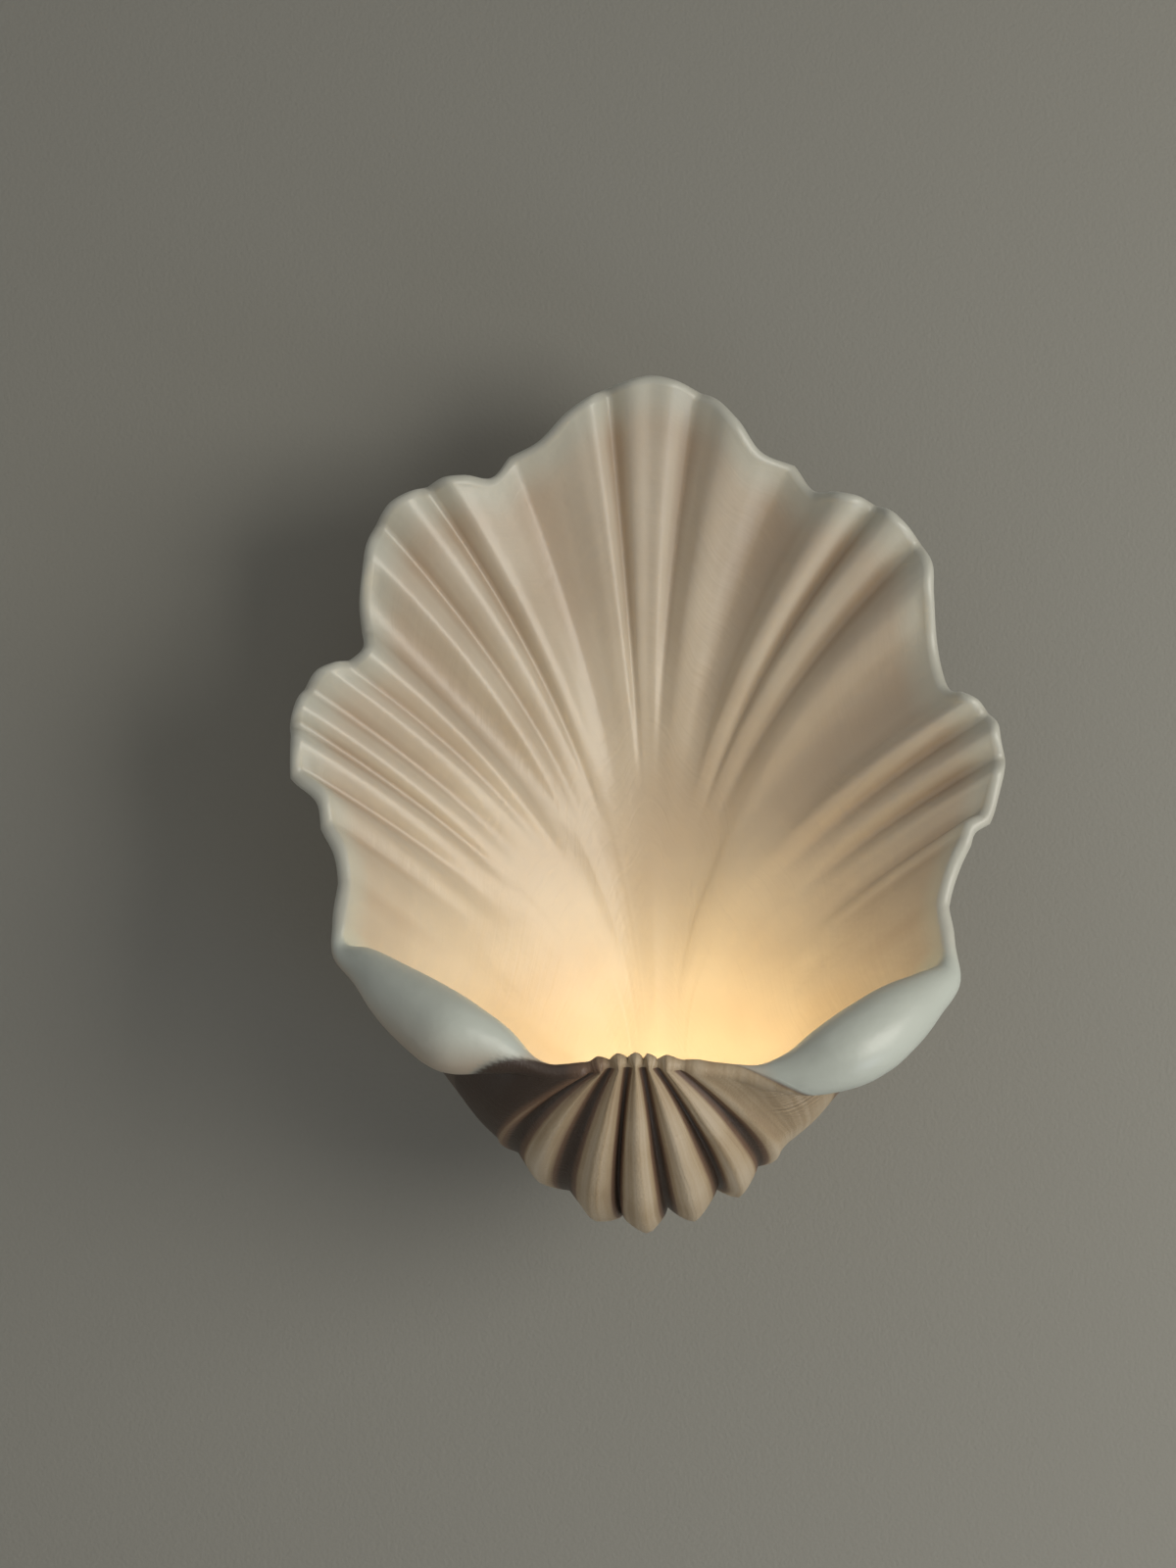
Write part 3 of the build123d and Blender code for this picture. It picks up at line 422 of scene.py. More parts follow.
def through(points: np.ndarray, spacing: np.ndarray, sharp: np.ndarray, counts: np.ndarray) -> np.ndarray:
    """Carry a closed ring of stations on to a finer ring, with rounded crests and sharp grooves.

    Each span is a cubic Hermite curve. At a smooth station both of its tangents are the parabola's
    through its neighbours; at a sharp one each side gets the tangent of its own span alone.

    Args:
        points: Array of stations x columns x values.
        spacing: Distance from each station to the next.
        sharp: Array of stations x columns, 0 smooth to 1 sharp.
        counts: How many points each span gets.

    Returns:
        Array of sum(counts) x columns x values.
    """
    step = spacing[:, None, None]
    before = np.roll(step, 1, axis=0)
    slope = (np.roll(points, -1, axis=0) - points) / step
    slope_before = np.roll(slope, 1, axis=0)
    even = (slope_before * step + slope * before) / (step + before)
    share = sharp[:, :, None]
    leaving = even * (1 - share) + (1.5 * slope - 0.5 * np.roll(even, -1, axis=0)) * share
    arriving = even * (1 - share) + (1.5 * slope_before - 0.5 * np.roll(even, 1, axis=0)) * share
    span = np.repeat(np.arange(len(counts)), counts)
    starts = np.repeat(np.cumsum(counts) - counts, counts)
    t = ((np.arange(len(span)) - starts) / counts[span])[:, None, None]
    after = (span + 1) % len(counts)
    return (points[span] * (1 + 2 * t) * (1 - t) ** 2 + points[after] * t * t * (3 - 2 * t)
            + step[span] * (leaving[span] * t * (1 - t) ** 2 - arriving[after] * t * t * (1 - t)))


# ---------------------------------------------------------------- the shell
@dataclass
class ShellCasting:
    """The cast bowl: flutes run from its scalloped edge and rolled lip down to a round seat."""

    wall: float = 7.5 * MM
    lamp: tuple[float, float] = (8 * MM, -128 * MM)
    seat_radius: float = 17 * MM
    seat_face: float = 50 * MM
    seat_wall: float = 8 * MM
    hole_radius: float = 5.3 * MM
    opening_height: float = 20 * MM
    belly_lean: float = 0.25
    evenness: float = 20 * MM
    # the ribs' share of their relief at the lip, how fast they rise from there along a flute line,
    # and the share of the line over which they die out
    rib_start: float = 0.6
    rib_gain: float = 2.0
    rib_fade: float = 0.4
    across: int = 600
    inside_rows: int = 70
    bead_rows: int = 26
    outside_rows: int = 46
    # columns on either side of a point that its relief is compared with, and the column along
    # which the streaks' places are measured
    neighbours: tuple[int, int] = (7, 26)
    measured_column: int = 100
    # how far round the bead the glaze ends, how much sooner on the beak's thin lip, and the length
    # in metres that the growth lines are spread over
    glaze_end: float = 0.93
    glaze_short: float = 0.77
    glaze_blend: float = 0.09
    growth_run: float = 0.25
    # depth below the neighbours at which the groove colour (painted shade, and brown patina on the
    # bare clay) is full: near ones, wide ones past a slack
    near_depth: float = 3.5 * MM
    wide_depth: float = 9 * MM
    wide_slack: float = 2 * MM
    # places along the lip as a distance from the middle and the length of the change after it:
    # where the rolls begin, where the glaze's end runs aslant on the left and on the right, where
    # brown painted shade darkens the left roll's front, where the clay wrinkles, and where painted
    # shade darkens the beak's left and painted light pales its right
    lip_middle: float = -4 * MM
    rolls_from: tuple[float, float] = (70 * MM, 10 * MM)
    aslant_left: tuple[float, float] = (38 * MM, 40 * MM)
    aslant_right: tuple[float, float] = (30 * MM, 48 * MM)
    left_roll_shade_span: tuple[float, float] = (42 * MM, 20 * MM)
    wrinkled_right: tuple[float, float] = (35 * MM, 20 * MM)
    painted_shade_left: tuple[float, float] = (8 * MM, 42 * MM)
    painted_light_right: tuple[float, float] = (26 * MM, 25 * MM)
    # a bead this thick starts to carry thick glaze, and one this much thicker carries it in full
    thick_from: tuple[float, float] = (3.8 * MM, 3 * MM)
    # the scalloped edge clockwise from the left shoulder: x, z and relief of the flute, in mm
    edge_outline: Sequence[tuple[float, float, float]] = (
        (-143, -41, 2), (-138, -22, -2.2), (-143, -9, 1.3), (-147, 5, -2.2), (-152, 15, 2),
        (-162, 30, -2.2), (-166, 38, 4.9), (-165.5, 45, 4.9), (-162.5, 51, -2.2), (-165, 56, 4.2),
        (-163, 62, 4.2), (-157, 67, -1.8), (-154, 76, 4.2), (-148, 79.5, 4.2), (-139, 79, -1.8),
        (-133, 86, 2.8), (-126, 98, -9.5), (-129, 116, -5.4), (-134, 127, 5.6), (-132, 136, 5.6),
        (-124, 146.5, -2.2), (-121, 157, 6.3), (-112, 162.5, 6.3), (-102, 163, -1.8), (-96, 169.5, 6.3),
        (-88, 171, 5.6), (-72, 167, -4.1), (-59.5, 177, -9.5), (-46.5, 185.5, -5.4), (-35, 203, 5.6),
        (-25, 209.5, 6.3), (-16.5, 210.5, -2.2), (-8, 216.5, 6.3), (4, 219, 6.6), (15, 217, 6.3),
        (25.5, 209, -2.2), (33, 207.5, 1.6), (45, 199, 6.6), (55, 181, -1), (68, 173, -9.5),
        (80.5, 160, -6.5), (94, 163, 6.3), (103, 160.5, 6.3), (110, 154, -1.8), (118, 153.5, 6.3),
        (125, 147, 6.3), (129, 137, -2.2), (137, 128, 5.6), (138.5, 115, 6.3), (132.5, 96, -6.8),
        (134, 79, -9.5), (143, 64.5, -4.1), (151, 65.5, 4.2), (157, 61.5, 4.2), (159, 55, -2.2),
        (166, 50, 4.9), (167, 43, 4.9), (165, 36, -2.2), (168, 29, 4.9), (166, 20, 4.2),
        (157.5, 9, -2.2), (153, 2.5, 1.3), (148, -2, -2.2), (145, -14.5, 1.3), (136, -32.5, -2.2),
        (141, -49.5, 2),
    )
    # the rolled lip from the right shoulder round the front: x, z, radius of the roll, x and z of
    # the belly behind it, and rib of the beak, in mm
    lip_outline: Sequence[tuple[float, ...]] = (
        (137, -60, 6.5, 76, -104, 0), (128, -70, 11, 79, -106, 0), (113, -81, 15.5, 81, -108, 0),
        (97, -93, 17, 82, -112.5, 0), (78, -103, 15, 76, -120.5, 0), (61, -107, 10, 69, -128.5, 0),
        (47.5, -105.5, 5.2, 63, -133.5, 0), (36.5, -103, 4, 60, -136, 0), (28, -102, 4, 57, -139, 0.3),
        (21, -101, 4, 54, -142, 1.2), (15, -100.6, 4, 49.5, -146.2, -3),
        (11.5, -99.9, 4, 45.5, -150, -0.3), (8.5, -99.3, 4, 40.5, -154.3, 2.8),
        (4.6, -100, 4, 33, -155.2, -4), (2.6, -99.4, 4, 27, -160, -0.7),
        (0.7, -98.8, 4, 20, -165.2, 3), (-1.6, -99.8, 4, 9.5, -165.4, -4),
        (-3.4, -99.2, 4, 4.2, -168.2, -0.4), (-5.3, -98.4, 4, -1.3, -170.2, 3.2),
        (-6.9, -99.2, 4, -5.6, -169.2, -0.4), (-8.4, -99.8, 4, -9.6, -165.6, -4),
        (-10.4, -99.2, 4, -14.5, -167, -0.4), (-12.3, -98.8, 4, -20, -165.5, 3),
        (-14.4, -99.5, 4, -27, -162, -0.6), (-16.5, -100.2, 4, -33.5, -158.5, -4.2),
        (-18.8, -100, 4, -38, -155, -0.8), (-20.8, -99.8, 4, -43, -150.5, 2.2),
        (-23, -100.8, 4, -50, -145.5, -0.5), (-25.5, -101.6, 4, -55.5, -141, -3.2),
        (-29, -102.2, 4, -58.5, -138, -0.2), (-36, -103, 3.9, -60, -135.5, 0),
        (-43, -103.2, 3.9, -61, -134.2, 0), (-50, -101.7, 4.6, -62, -133.2, 0),
        (-61, -98.5, 10.5, -66, -129.5, 0), (-80, -94.5, 16.5, -74, -118.5, 0),
        (-100, -81.5, 16.5, -79, -110, 0), (-117, -67.5, 13, -76, -106, 0),
        (-130, -57, 8.5, -72, -103, 0), (-138, -51, 4.5, -70, -100, 0),
    )
    # depths in mm, turns in degrees and the flutes' reach along their lines, against the direction
    # from the middle of the opening
    flute_reach: Sequence[tuple[float, float]] = ((0, 0.6), (45, 0.58), (75, 0.5), (100, 0.42), (125, 0.4))
    rim_depth: Sequence[tuple[float, float]] = ((0, 65), (32, 73), (60, 88), (82, 108), (107, 129),
        (118, 142), (135, 165), (153, 180), (180, 184))
    belly_depth: Sequence[tuple[float, float]] = ((0, 34), (32, 37), (60, 46), (82, 57), (107, 70),
        (118, 78), (135, 106), (153, 114), (180, 118))
    belly_spread: Sequence[tuple[float, float]] = ((0, 0.25), (60, 0.26), (82, 0.31), (107, 0.425),
        (118, 0.475), (180, 0.475))
    belly_drop: Sequence[tuple[float, float]] = ((0, 0), (60, 0), (82, 2), (107, 6), (118, 8), (180, 8))
    seat_turn: Sequence[tuple[float, float]] = ((0, 0), (32, 20), (82, 60), (118, 100), (135, 125),
        (153, 150), (165, 165), (180, 180))

    def stations(self) -> dict[str, np.ndarray]:
        """Work out edge, belly, seat, bead, flute and rib of each flute line, in metres.

        The bowl below the scallops follows the outline averaged with a bell curve along its
        length; what the scallops stand off that even outline is kept apart.

        Returns:
            One array for each of them, in the order of the outline.
        """
        edge_x, edge_z, flute = np.array(self.edge_outline).T * MM
        lip_x, lip_z, roll, belly_x, belly_z, rib = np.array(self.lip_outline).T * MM
        x, z = np.concatenate([edge_x, lip_x]), np.concatenate([edge_z, lip_z])
        on_edge = np.arange(len(x)) < len(edge_x)
        angle = np.degrees(np.arctan2(np.abs(x), z - self.opening_height))
        ahead = np.hypot(np.roll(x, -1) - x, np.roll(z, -1) - z)
        run, length = np.cumsum(ahead) - ahead, ahead.sum()
        apart = (run[:, None] - run + length / 2) % length - length / 2
        weight = np.exp(-0.5 * (apart / self.evenness) ** 2) * (ahead + np.roll(ahead, 1))
        weight /= weight.sum(axis=1, keepdims=True)
        calm = smooth_step((116 - angle) / 14)
        even_x, even_z = x + (weight @ x - x) * calm, z + (weight @ z - z) * calm
        even_angle = np.degrees(np.arctan2(np.abs(even_x), even_z - self.opening_height))
        turn = np.radians(reading(self.seat_turn, even_angle)) * np.where(x > 0, 1, -1)
        seat = np.stack([self.lamp[0] + self.seat_radius * np.sin(turn), np.full(len(x), -self.seat_face),
                         self.lamp[1] + self.seat_radius * np.cos(turn)], axis=-1)
        share = np.where(on_edge, 1 - self.wall / 2 / np.hypot(x, z - self.opening_height), 1)
        edge = np.stack([x * share, -reading(self.rim_depth, angle) * MM,
                         self.opening_height + (z - self.opening_height) * share], axis=-1)
        scallop = np.stack([x - even_x, 0 * x, z - even_z], axis=-1) * share[:, None]
        belly_x = np.concatenate([even_x[on_edge] * reading(self.belly_spread, even_angle[on_edge])
                                  + self.belly_lean * seat[on_edge, 0], belly_x])
        belly_z = np.concatenate([0.5 * (edge - scallop + seat)[on_edge, 2]
                                  - reading(self.belly_drop, even_angle[on_edge]) * MM, belly_z])
        belly = np.stack([belly_x, -reading(self.belly_depth, even_angle) * MM, belly_z], axis=-1)
        return {"edge": edge, "belly": belly, "seat": seat, "scallop": scallop,
                "bead": np.concatenate([edge_x * 0, np.where(roll < 4.3 * MM, 0, roll)]).clip(self.wall / 2),
                "flute": np.concatenate([flute, roll * 0]), "rib": np.concatenate([edge_x * 0, rib]),
                "reach": reading(self.flute_reach, angle),
                "on_lip": (~on_edge).astype(float)}

    def lines(self, at: dict[str, np.ndarray]) -> tuple[np.ndarray, dict[str, np.ndarray]]:
        """Lay out every flute line: inside from the edge to the seat, the seat's hole, the outside
        back to the edge, and the bead that closes it.

        The smooth bowl is a parabola from the even edge through the belly to the seat, and what
        the scallop stands off that edge fades with the cube of the way left. The flute stands off
        it square to the surface and fades with the S curve over its reach. The outside lies one
        wall further out, with the beak's ribs on it. The bead is an arc round the edge.

        Args:
            at: The stations.

        Returns:
            The points, stations x columns x 3, and for each column its share along the line and
            what part of the shell it belongs to.
        """
        edge, belly, seat = at["edge"], at["belly"], at["seat"]
        bead = at["bead"][:, None]
        along = unit(np.roll(edge, -1, axis=0) - np.roll(edge, 1, axis=0))
        scallop = at["scallop"]
        even_edge = edge - scallop
        inward = 2 * (belly * 2 - (even_edge + seat) * 0.5 - even_edge) - 3 * scallop
        inward = unit(inward - along * (inward * along).sum(-1, keepdims=True))
        start = edge - np.cross(along, inward) * bead
        even_start = start - scallop
        pull = belly * 2 - (even_start + seat) * 0.5

        def base(v: np.ndarray) -> np.ndarray:
            """The smooth bowl at shares v along each line."""
            v = v[..., None]
            return (even_start[:, None] * (1 - v) ** 2 + pull[:, None] * 2 * v * (1 - v)
                    + seat[:, None] * v * v + scallop[:, None] * (1 - v) ** 3)

        def outward(v: np.ndarray) -> np.ndarray:
            """Direction square to the smooth bowl, away from its hollow."""
            far, near = np.clip(v + 0.01, 0, 1), np.clip(v - 0.01, 0, 1)
            run = base(far) - base(near)
            side = np.roll(base(v), -1, axis=0) - np.roll(base(v), 1, axis=0)
            return unit(np.cross(side, run))

        def fade(v: np.ndarray) -> np.ndarray:
            """How much of the flute is left."""
            return 1 - smooth_step(v / at["reach"][:, None])

        count = len(edge)
        flute, rib = at["flute"][:, None, None], at["rib"][:, None, None]
        v_in = np.linspace(0, 1, self.inside_rows)[None].repeat(count, axis=0)
        inside = base(v_in) - outward(v_in) * fade(v_in)[..., None] * flute
        # bead: an arc from the edge until it meets the outside of the wall
        out = outward(v_in[:, :1])
        down = np.cross(out, along[:, None])
        middle = inside[:, :1] + out * bead[:, None]
        end = 2 * np.pi - np.arccos(np.clip(1 - self.wall / bead, -1, 1))
        part = np.linspace(1, 0, self.bead_rows)
        turn = (end * part)[..., None]
        thickness = bead[:, None] + rib * self.rib_start * part[None, :, None]
        roll = middle - (out * np.cos(turn) + down * np.sin(turn)) * thickness
        # outside, from the seat back to where the bead ends
        hidden = np.sqrt(np.clip(bead ** 2 - (bead - self.wall) ** 2, 0, None))
        first = hidden / (2 * np.linalg.norm(pull - start, axis=-1, keepdims=True))
        v_flat = np.linspace(1, 0, self.outside_rows)[None].repeat(count, axis=0)
        v_out = first + (1 - first) * v_flat
        ribs = (np.clip(self.rib_start + self.rib_gain * v_out, 0, 1)
                * np.clip((1 - v_out) / self.rib_fade, 0, 1))
        off = self.wall + rib * ribs[..., None]
        outside = base(v_out) - outward(v_out) * (fade(v_out)[..., None] * flute - off)
        behind = seat + np.array([0, self.seat_wall, 0])
        settle = smooth_step(v_flat * 4 - 3)[..., None]
        outside = outside + (behind[:, None] - outside[:, :1]) * settle
        outside[:, -1] = roll[:, 0]
        # the seat's two faces and its hole
        centre = np.array([self.lamp[0], -self.seat_face, self.lamp[1]])
        spoke = unit(seat - centre)
        hole = centre + spoke * self.hole_radius
        back = np.array([0, self.seat_wall, 0])
        disc = np.stack([seat * 0.5 + hole * 0.5, hole, hole + back * 0.5, hole + back,
                         (seat + hole) * 0.5 + back], axis=1)
        points = np.concatenate([inside, disc, outside, roll[:, 1:-1]], axis=1)
        plain = np.zeros((count, self.bead_rows - 2))
        share = np.concatenate([v_in, np.ones((count, 5)), v_out, plain], axis=1)
        zone = np.concatenate([np.zeros(self.inside_rows), np.full(2, 1), np.full(1, 2), np.full(2, 3),
                               np.full(self.outside_rows, 4), np.full(self.bead_rows - 2, 5)])
        arc = np.concatenate([np.zeros(self.inside_rows + 5), np.ones(self.outside_rows),
                              np.linspace(1, 0, self.bead_rows)[1:-1]])
        on_lip = at["on_lip"][:, None]
        ribbed = np.concatenate([v_in * 0, np.zeros((count, 5)), ribs, plain], axis=1)
        left = np.where(on_lip > 0, ribbed, fade(share))
        return points, {"share": share, "left": left, "zone": zone, "arc": arc}

    def marks(self, share: np.ndarray, height: np.ndarray, left: np.ndarray, lip: np.ndarray,
              bead: np.ndarray, x: np.ndarray, zone: np.ndarray, arc: np.ndarray) -> dict[str, np.ndarray]:
        """Work out what the finish reads at each point.

        Args:
            share: Share of the way from the edge to the seat.
            height: Relief of the flute or rib at the edge, in metres.
            left: How much of that relief is left here.
            lip: 1 on the rolled lip, 0 on the scalloped edge.
            bead: Radius of the roll, in metres.
            x: How far right of the middle the flute line starts, in metres.
            zone: What part of the shell a column belongs to.
            arc: How far round the bead a column lies, 0 inside to 1 outside.

        Returns:
            For each mark its name and its values.
        """
        # how far the relief lies below the mean of its neighbourhood
        near, wide = (sum(np.roll(height, k, axis=0) for k in range(-reach, reach + 1)) / (2 * reach + 1)
                      for reach in self.neighbours)
        # the finish darkens these hollows: painted shade in the glaze, patina and painted shade on the clay
        hollow = np.clip(np.maximum((near - height) / self.near_depth,
                                    (wide - height - self.wide_slack) / self.wide_depth),
                         -1, 1) * np.clip(left, 0, 1)
        # the glaze ends behind the bead, but on top of it where the beak's lip is thin
        lip = np.clip(lip, 0, 1)
        beyond = smooth_step(ramp(np.abs(x - self.lip_middle), self.rolls_from))
        thick = np.clip(ramp(bead, self.thick_from), beyond, 1)
        aslant = np.clip(np.maximum(ramp(-x, self.aslant_left), ramp(x, self.aslant_right)), 0, 1)
        glaze_end = self.glaze_end - self.glaze_short * lip * (1 - np.maximum(aslant, beyond))
        outside = smooth_step((arc - glaze_end) / self.glaze_blend)
        near_edge = np.where(zone == 0, smooth_step(1 - share / (0.065 + 0.135 * lip)),
                             np.where(zone == 5, 1.0, 0.0))
        # painted shade: the left roll's front turns brown towards its lower edge, with less of the lip's
        # colour
        left_roll_shade = lip * thick * smooth_step((arc - 0.38) / 0.34) * smooth_step(ramp(-x, self.left_roll_shade_span))
        left_roll_shade = left_roll_shade * (1 - outside)
        rolled = near_edge * (lip * thick * (1 - 0.85 * left_roll_shade) + (1 - lip) * 0.6)
        # painted shade: brown in the crease under the roll; the clay also wrinkles beside it on the right
        crease_shade = np.exp(-((arc - glaze_end) / 0.06) ** 2) * lip * thick
        wrinkled = outside * lip * smooth_step(ramp(x, self.wrinkled_right)) * smooth_step(2 - share * 5)
        # painted shade darkens the beak's left, and painted light makes its right paler
        side = (0.9 * smooth_step(ramp(-x, self.painted_shade_left))
                - 0.35 * smooth_step(ramp(x, self.painted_light_right)))
        # all of it goes to the finish's hollow mark: brown patina and painted shade
        patina_and_shade = np.maximum(hollow + lip * side * outside + left_roll_shade, 1.2 * crease_shade)
        return {"outside": outside, "lip": rolled, "hollow": patina_and_shade, "growth": share * self.growth_run,
                "wrinkled": wrinkled}

    def build(self, glaze: bpy.types.Material) -> bpy.types.Object:
        """Make the casting, mark what its finish reads, and let it stand for the CAD shell.

        Args:
            glaze: The casting's material.

        Returns:
            The new object.
        """
        at = self.stations()
        points, columns = self.lines(at)
        edge_gap, belly_gap = (np.linalg.norm(np.roll(at[name], -1, axis=0) - at[name], axis=-1)
                               for name in ("edge", "belly"))
        spacing = np.maximum(edge_gap, belly_gap)
        counts = np.maximum(3, np.round(self.across * spacing / spacing.sum())).astype(int)
        relief = at["flute"] + at["rib"]
        groove = (relief < np.roll(relief, 1)) & (relief < np.roll(relief, -1))
        left = columns["left"]
        arris = (at["rib"] > 2 * MM)[:, None] * (0.85 - 0.6 * smooth_step(columns["share"] / 0.45))
        sharp = ((groove * (0.55 + 0.45 * at["on_lip"]))[:, None] + arris) * np.clip(left, 0, 1)
        fine = through(points, spacing, sharp, counts)
        told = np.stack([np.broadcast_to(value, left.shape) for value in (
            columns["share"], relief[:, None], left, at["on_lip"][:, None], at["bead"][:, None],
            at["edge"][:, None, 0])], axis=-1)
        values = np.moveaxis(through(told, spacing, sharp, counts), -1, 0)
        marks = self.marks(*values, columns["zone"], columns["arc"])
        across = np.cumsum(np.linalg.norm(fine - np.roll(fine, 1, axis=0), axis=-1)[:, self.measured_column])
        marks["across"] = np.broadcast_to(across[:, None], fine.shape[:2])
        piece = surface("shell_casting", [fine], True, True)
        for name, numbers in marks.items():
            mark(piece, name, numbers)
        piece.data.materials.append(glaze)
        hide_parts("shell")
        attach(piece, "shell_unit")
        return piece


# ---------------------------------------------------------------- turned pieces
class Facing(Enum):
    """Which way the end of a turned piece faces: its axis, and the two directions square to it."""

    WALL = ((0, 1, 0), (0, 0, 1), (1, 0, 0))
    ROOM = ((0, -1, 0), (1, 0, 0), (0, 0, 1))
    UP = ((0, 0, 1), (1, 0, 0), (0, 1, 0))
    DOWN = ((0, 0, -1), (0, 1, 0), (1, 0, 0))
    LEFT = ((-1, 0, 0), (0, 0, 1), (0, 1, 0))
    RIGHT = ((1, 0, 0), (0, 1, 0), (0, 0, 1))


class Drive(Enum):
    """What is cut into a screw's head."""

    CROSS = "cross"
    SLOT = "slot"


def turned(radius: np.ndarray, height: np.ndarray, place: Sequence[float], facing: Facing) -> np.ndarray:
    """Turn a profile about an axis: each point lies radius away from the axis, height along it.

    Args:
        radius: Array of rows x columns, in metres; the columns go once round.
        height: Array of rows x columns or rows x 1, in metres.
        place: The point of the axis from which heights count.
        facing: The axis.

    Returns:
        Array of rows x columns x 3.
    """
    axis, first, second = np.array(facing.value, float)
    angle = 2 * np.pi * np.arange(radius.shape[1]) / radius.shape[1]
    spoke = np.cos(angle)[:, None] * first + np.sin(angle)[:, None] * second
    height = np.broadcast_to(height, radius.shape)
    return np.array(place) + radius[..., None] * spoke + height[..., None] * axis


def saw(share: np.ndarray) -> np.ndarray:
    """A ridge for each whole number: 1 at the number, falling straight to 0 half way to the next."""
    return 2 * np.abs(share - np.floor(share) - 0.5)


def fuse(piece: bpy.types.Object) -> bpy.types.Object:
    """Merge the points that meet at the poles, so that the mesh is closed there."""
    mesh = bmesh.new()
    mesh.from_mesh(piece.data)
    bmesh.ops.remove_doubles(mesh, verts=mesh.verts, dist=1e-6)
    mesh.to_mesh(piece.data)
    mesh.free()
    return piece


@dataclass(frozen=True)
class Screw:
    """A small machine screw: a low domed head with a cross or a slot, and a plain shank."""

    head_radius: float
    head_height: float
    shank_radius: float
    shank_length: float
    drive: Drive
    drive_depth: float = 0.9 * MM
    around: int = 96
    rings: int = 34

    def cut(self, x: np.ndarray, y: np.ndarray) -> np.ndarray:
        """Depth of the drive at points of the head.

        A slot is a straight channel. A cross is deepest in the middle and runs out along both
        arms. Both have walls that follow an S curve.
        """
        near, far = np.minimum(np.abs(x), np.abs(y)), np.maximum(np.abs(x), np.abs(y))
        width = 0.16 * self.head_radius
        if self.drive is Drive.SLOT:
            return self.drive_depth * smooth_step((width * 1.3 - np.abs(x)) / (0.5 * width))
        arms = smooth_step((1.5 * width - near) / (0.7 * width))
        return self.drive_depth * arms * smooth_step(1.5 * (1 - far / (0.68 * self.head_radius)))

    def grid(self, place: Sequence[float], facing: Facing) -> np.ndarray:
        """Lay out one screw: shank, underside, rim and domed head, end to end.

        Args:
            place: Where the axis meets the head's underside.
            facing: Which way the head faces.

        Returns:
            Array of rows x columns x 3.
        """
        share = np.linspace(1, 0, self.rings)
        dome = self.head_height * (0.62 + 0.38 * np.sqrt(1 - (0.98 * share) ** 2))
        low = np.array([[0, -self.shank_length], [self.shank_radius * 0.85, -self.shank_length],
                        [self.shank_radius, -self.shank_length + 0.3 * MM], [self.shank_radius, 0],
                        [self.head_radius * 0.96, 0], [self.head_radius, 0.06 * MM]])
        radius = np.concatenate([low[:, 0], self.head_radius * share])
        height = np.concatenate([low[:, 1], dome])
        angle = 2 * np.pi * np.arange(self.around) / self.around
        radius = radius[:, None] * np.ones(self.around)
        cut = self.cut(radius * np.cos(angle), radius * np.sin(angle))
        on_top = (np.arange(len(radius)) >= len(low))[:, None]
        return turned(radius, height[:, None] - cut * on_top, place, facing)

    def build(self, name: str, spots: Sequence[tuple[Sequence[float], Facing]]) -> bpy.types.Object:
        """Make one piece of all the screws of a kind."""
        return fuse(surface(name, [self.grid(place, facing) for place, facing in spots], False, True))


def at_mm(*values: float) -> tuple[float, ...]:
    """A place given in millimetres, in metres."""
    return tuple(value * MM for value in values)


def dress(piece: bpy.types.Object, node: str, body: str, materials: Materials) -> bpy.types.Object:
    """Let a piece stand for a CAD node, ride its body and wear the material of its slot."""
    slot = next(row["material_slot"] for row in frame["record"]["subparts"] if row["node"] == node)
    piece.data.materials.append(materials[slot])
    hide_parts(node)
    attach(piece, body)
    return piece


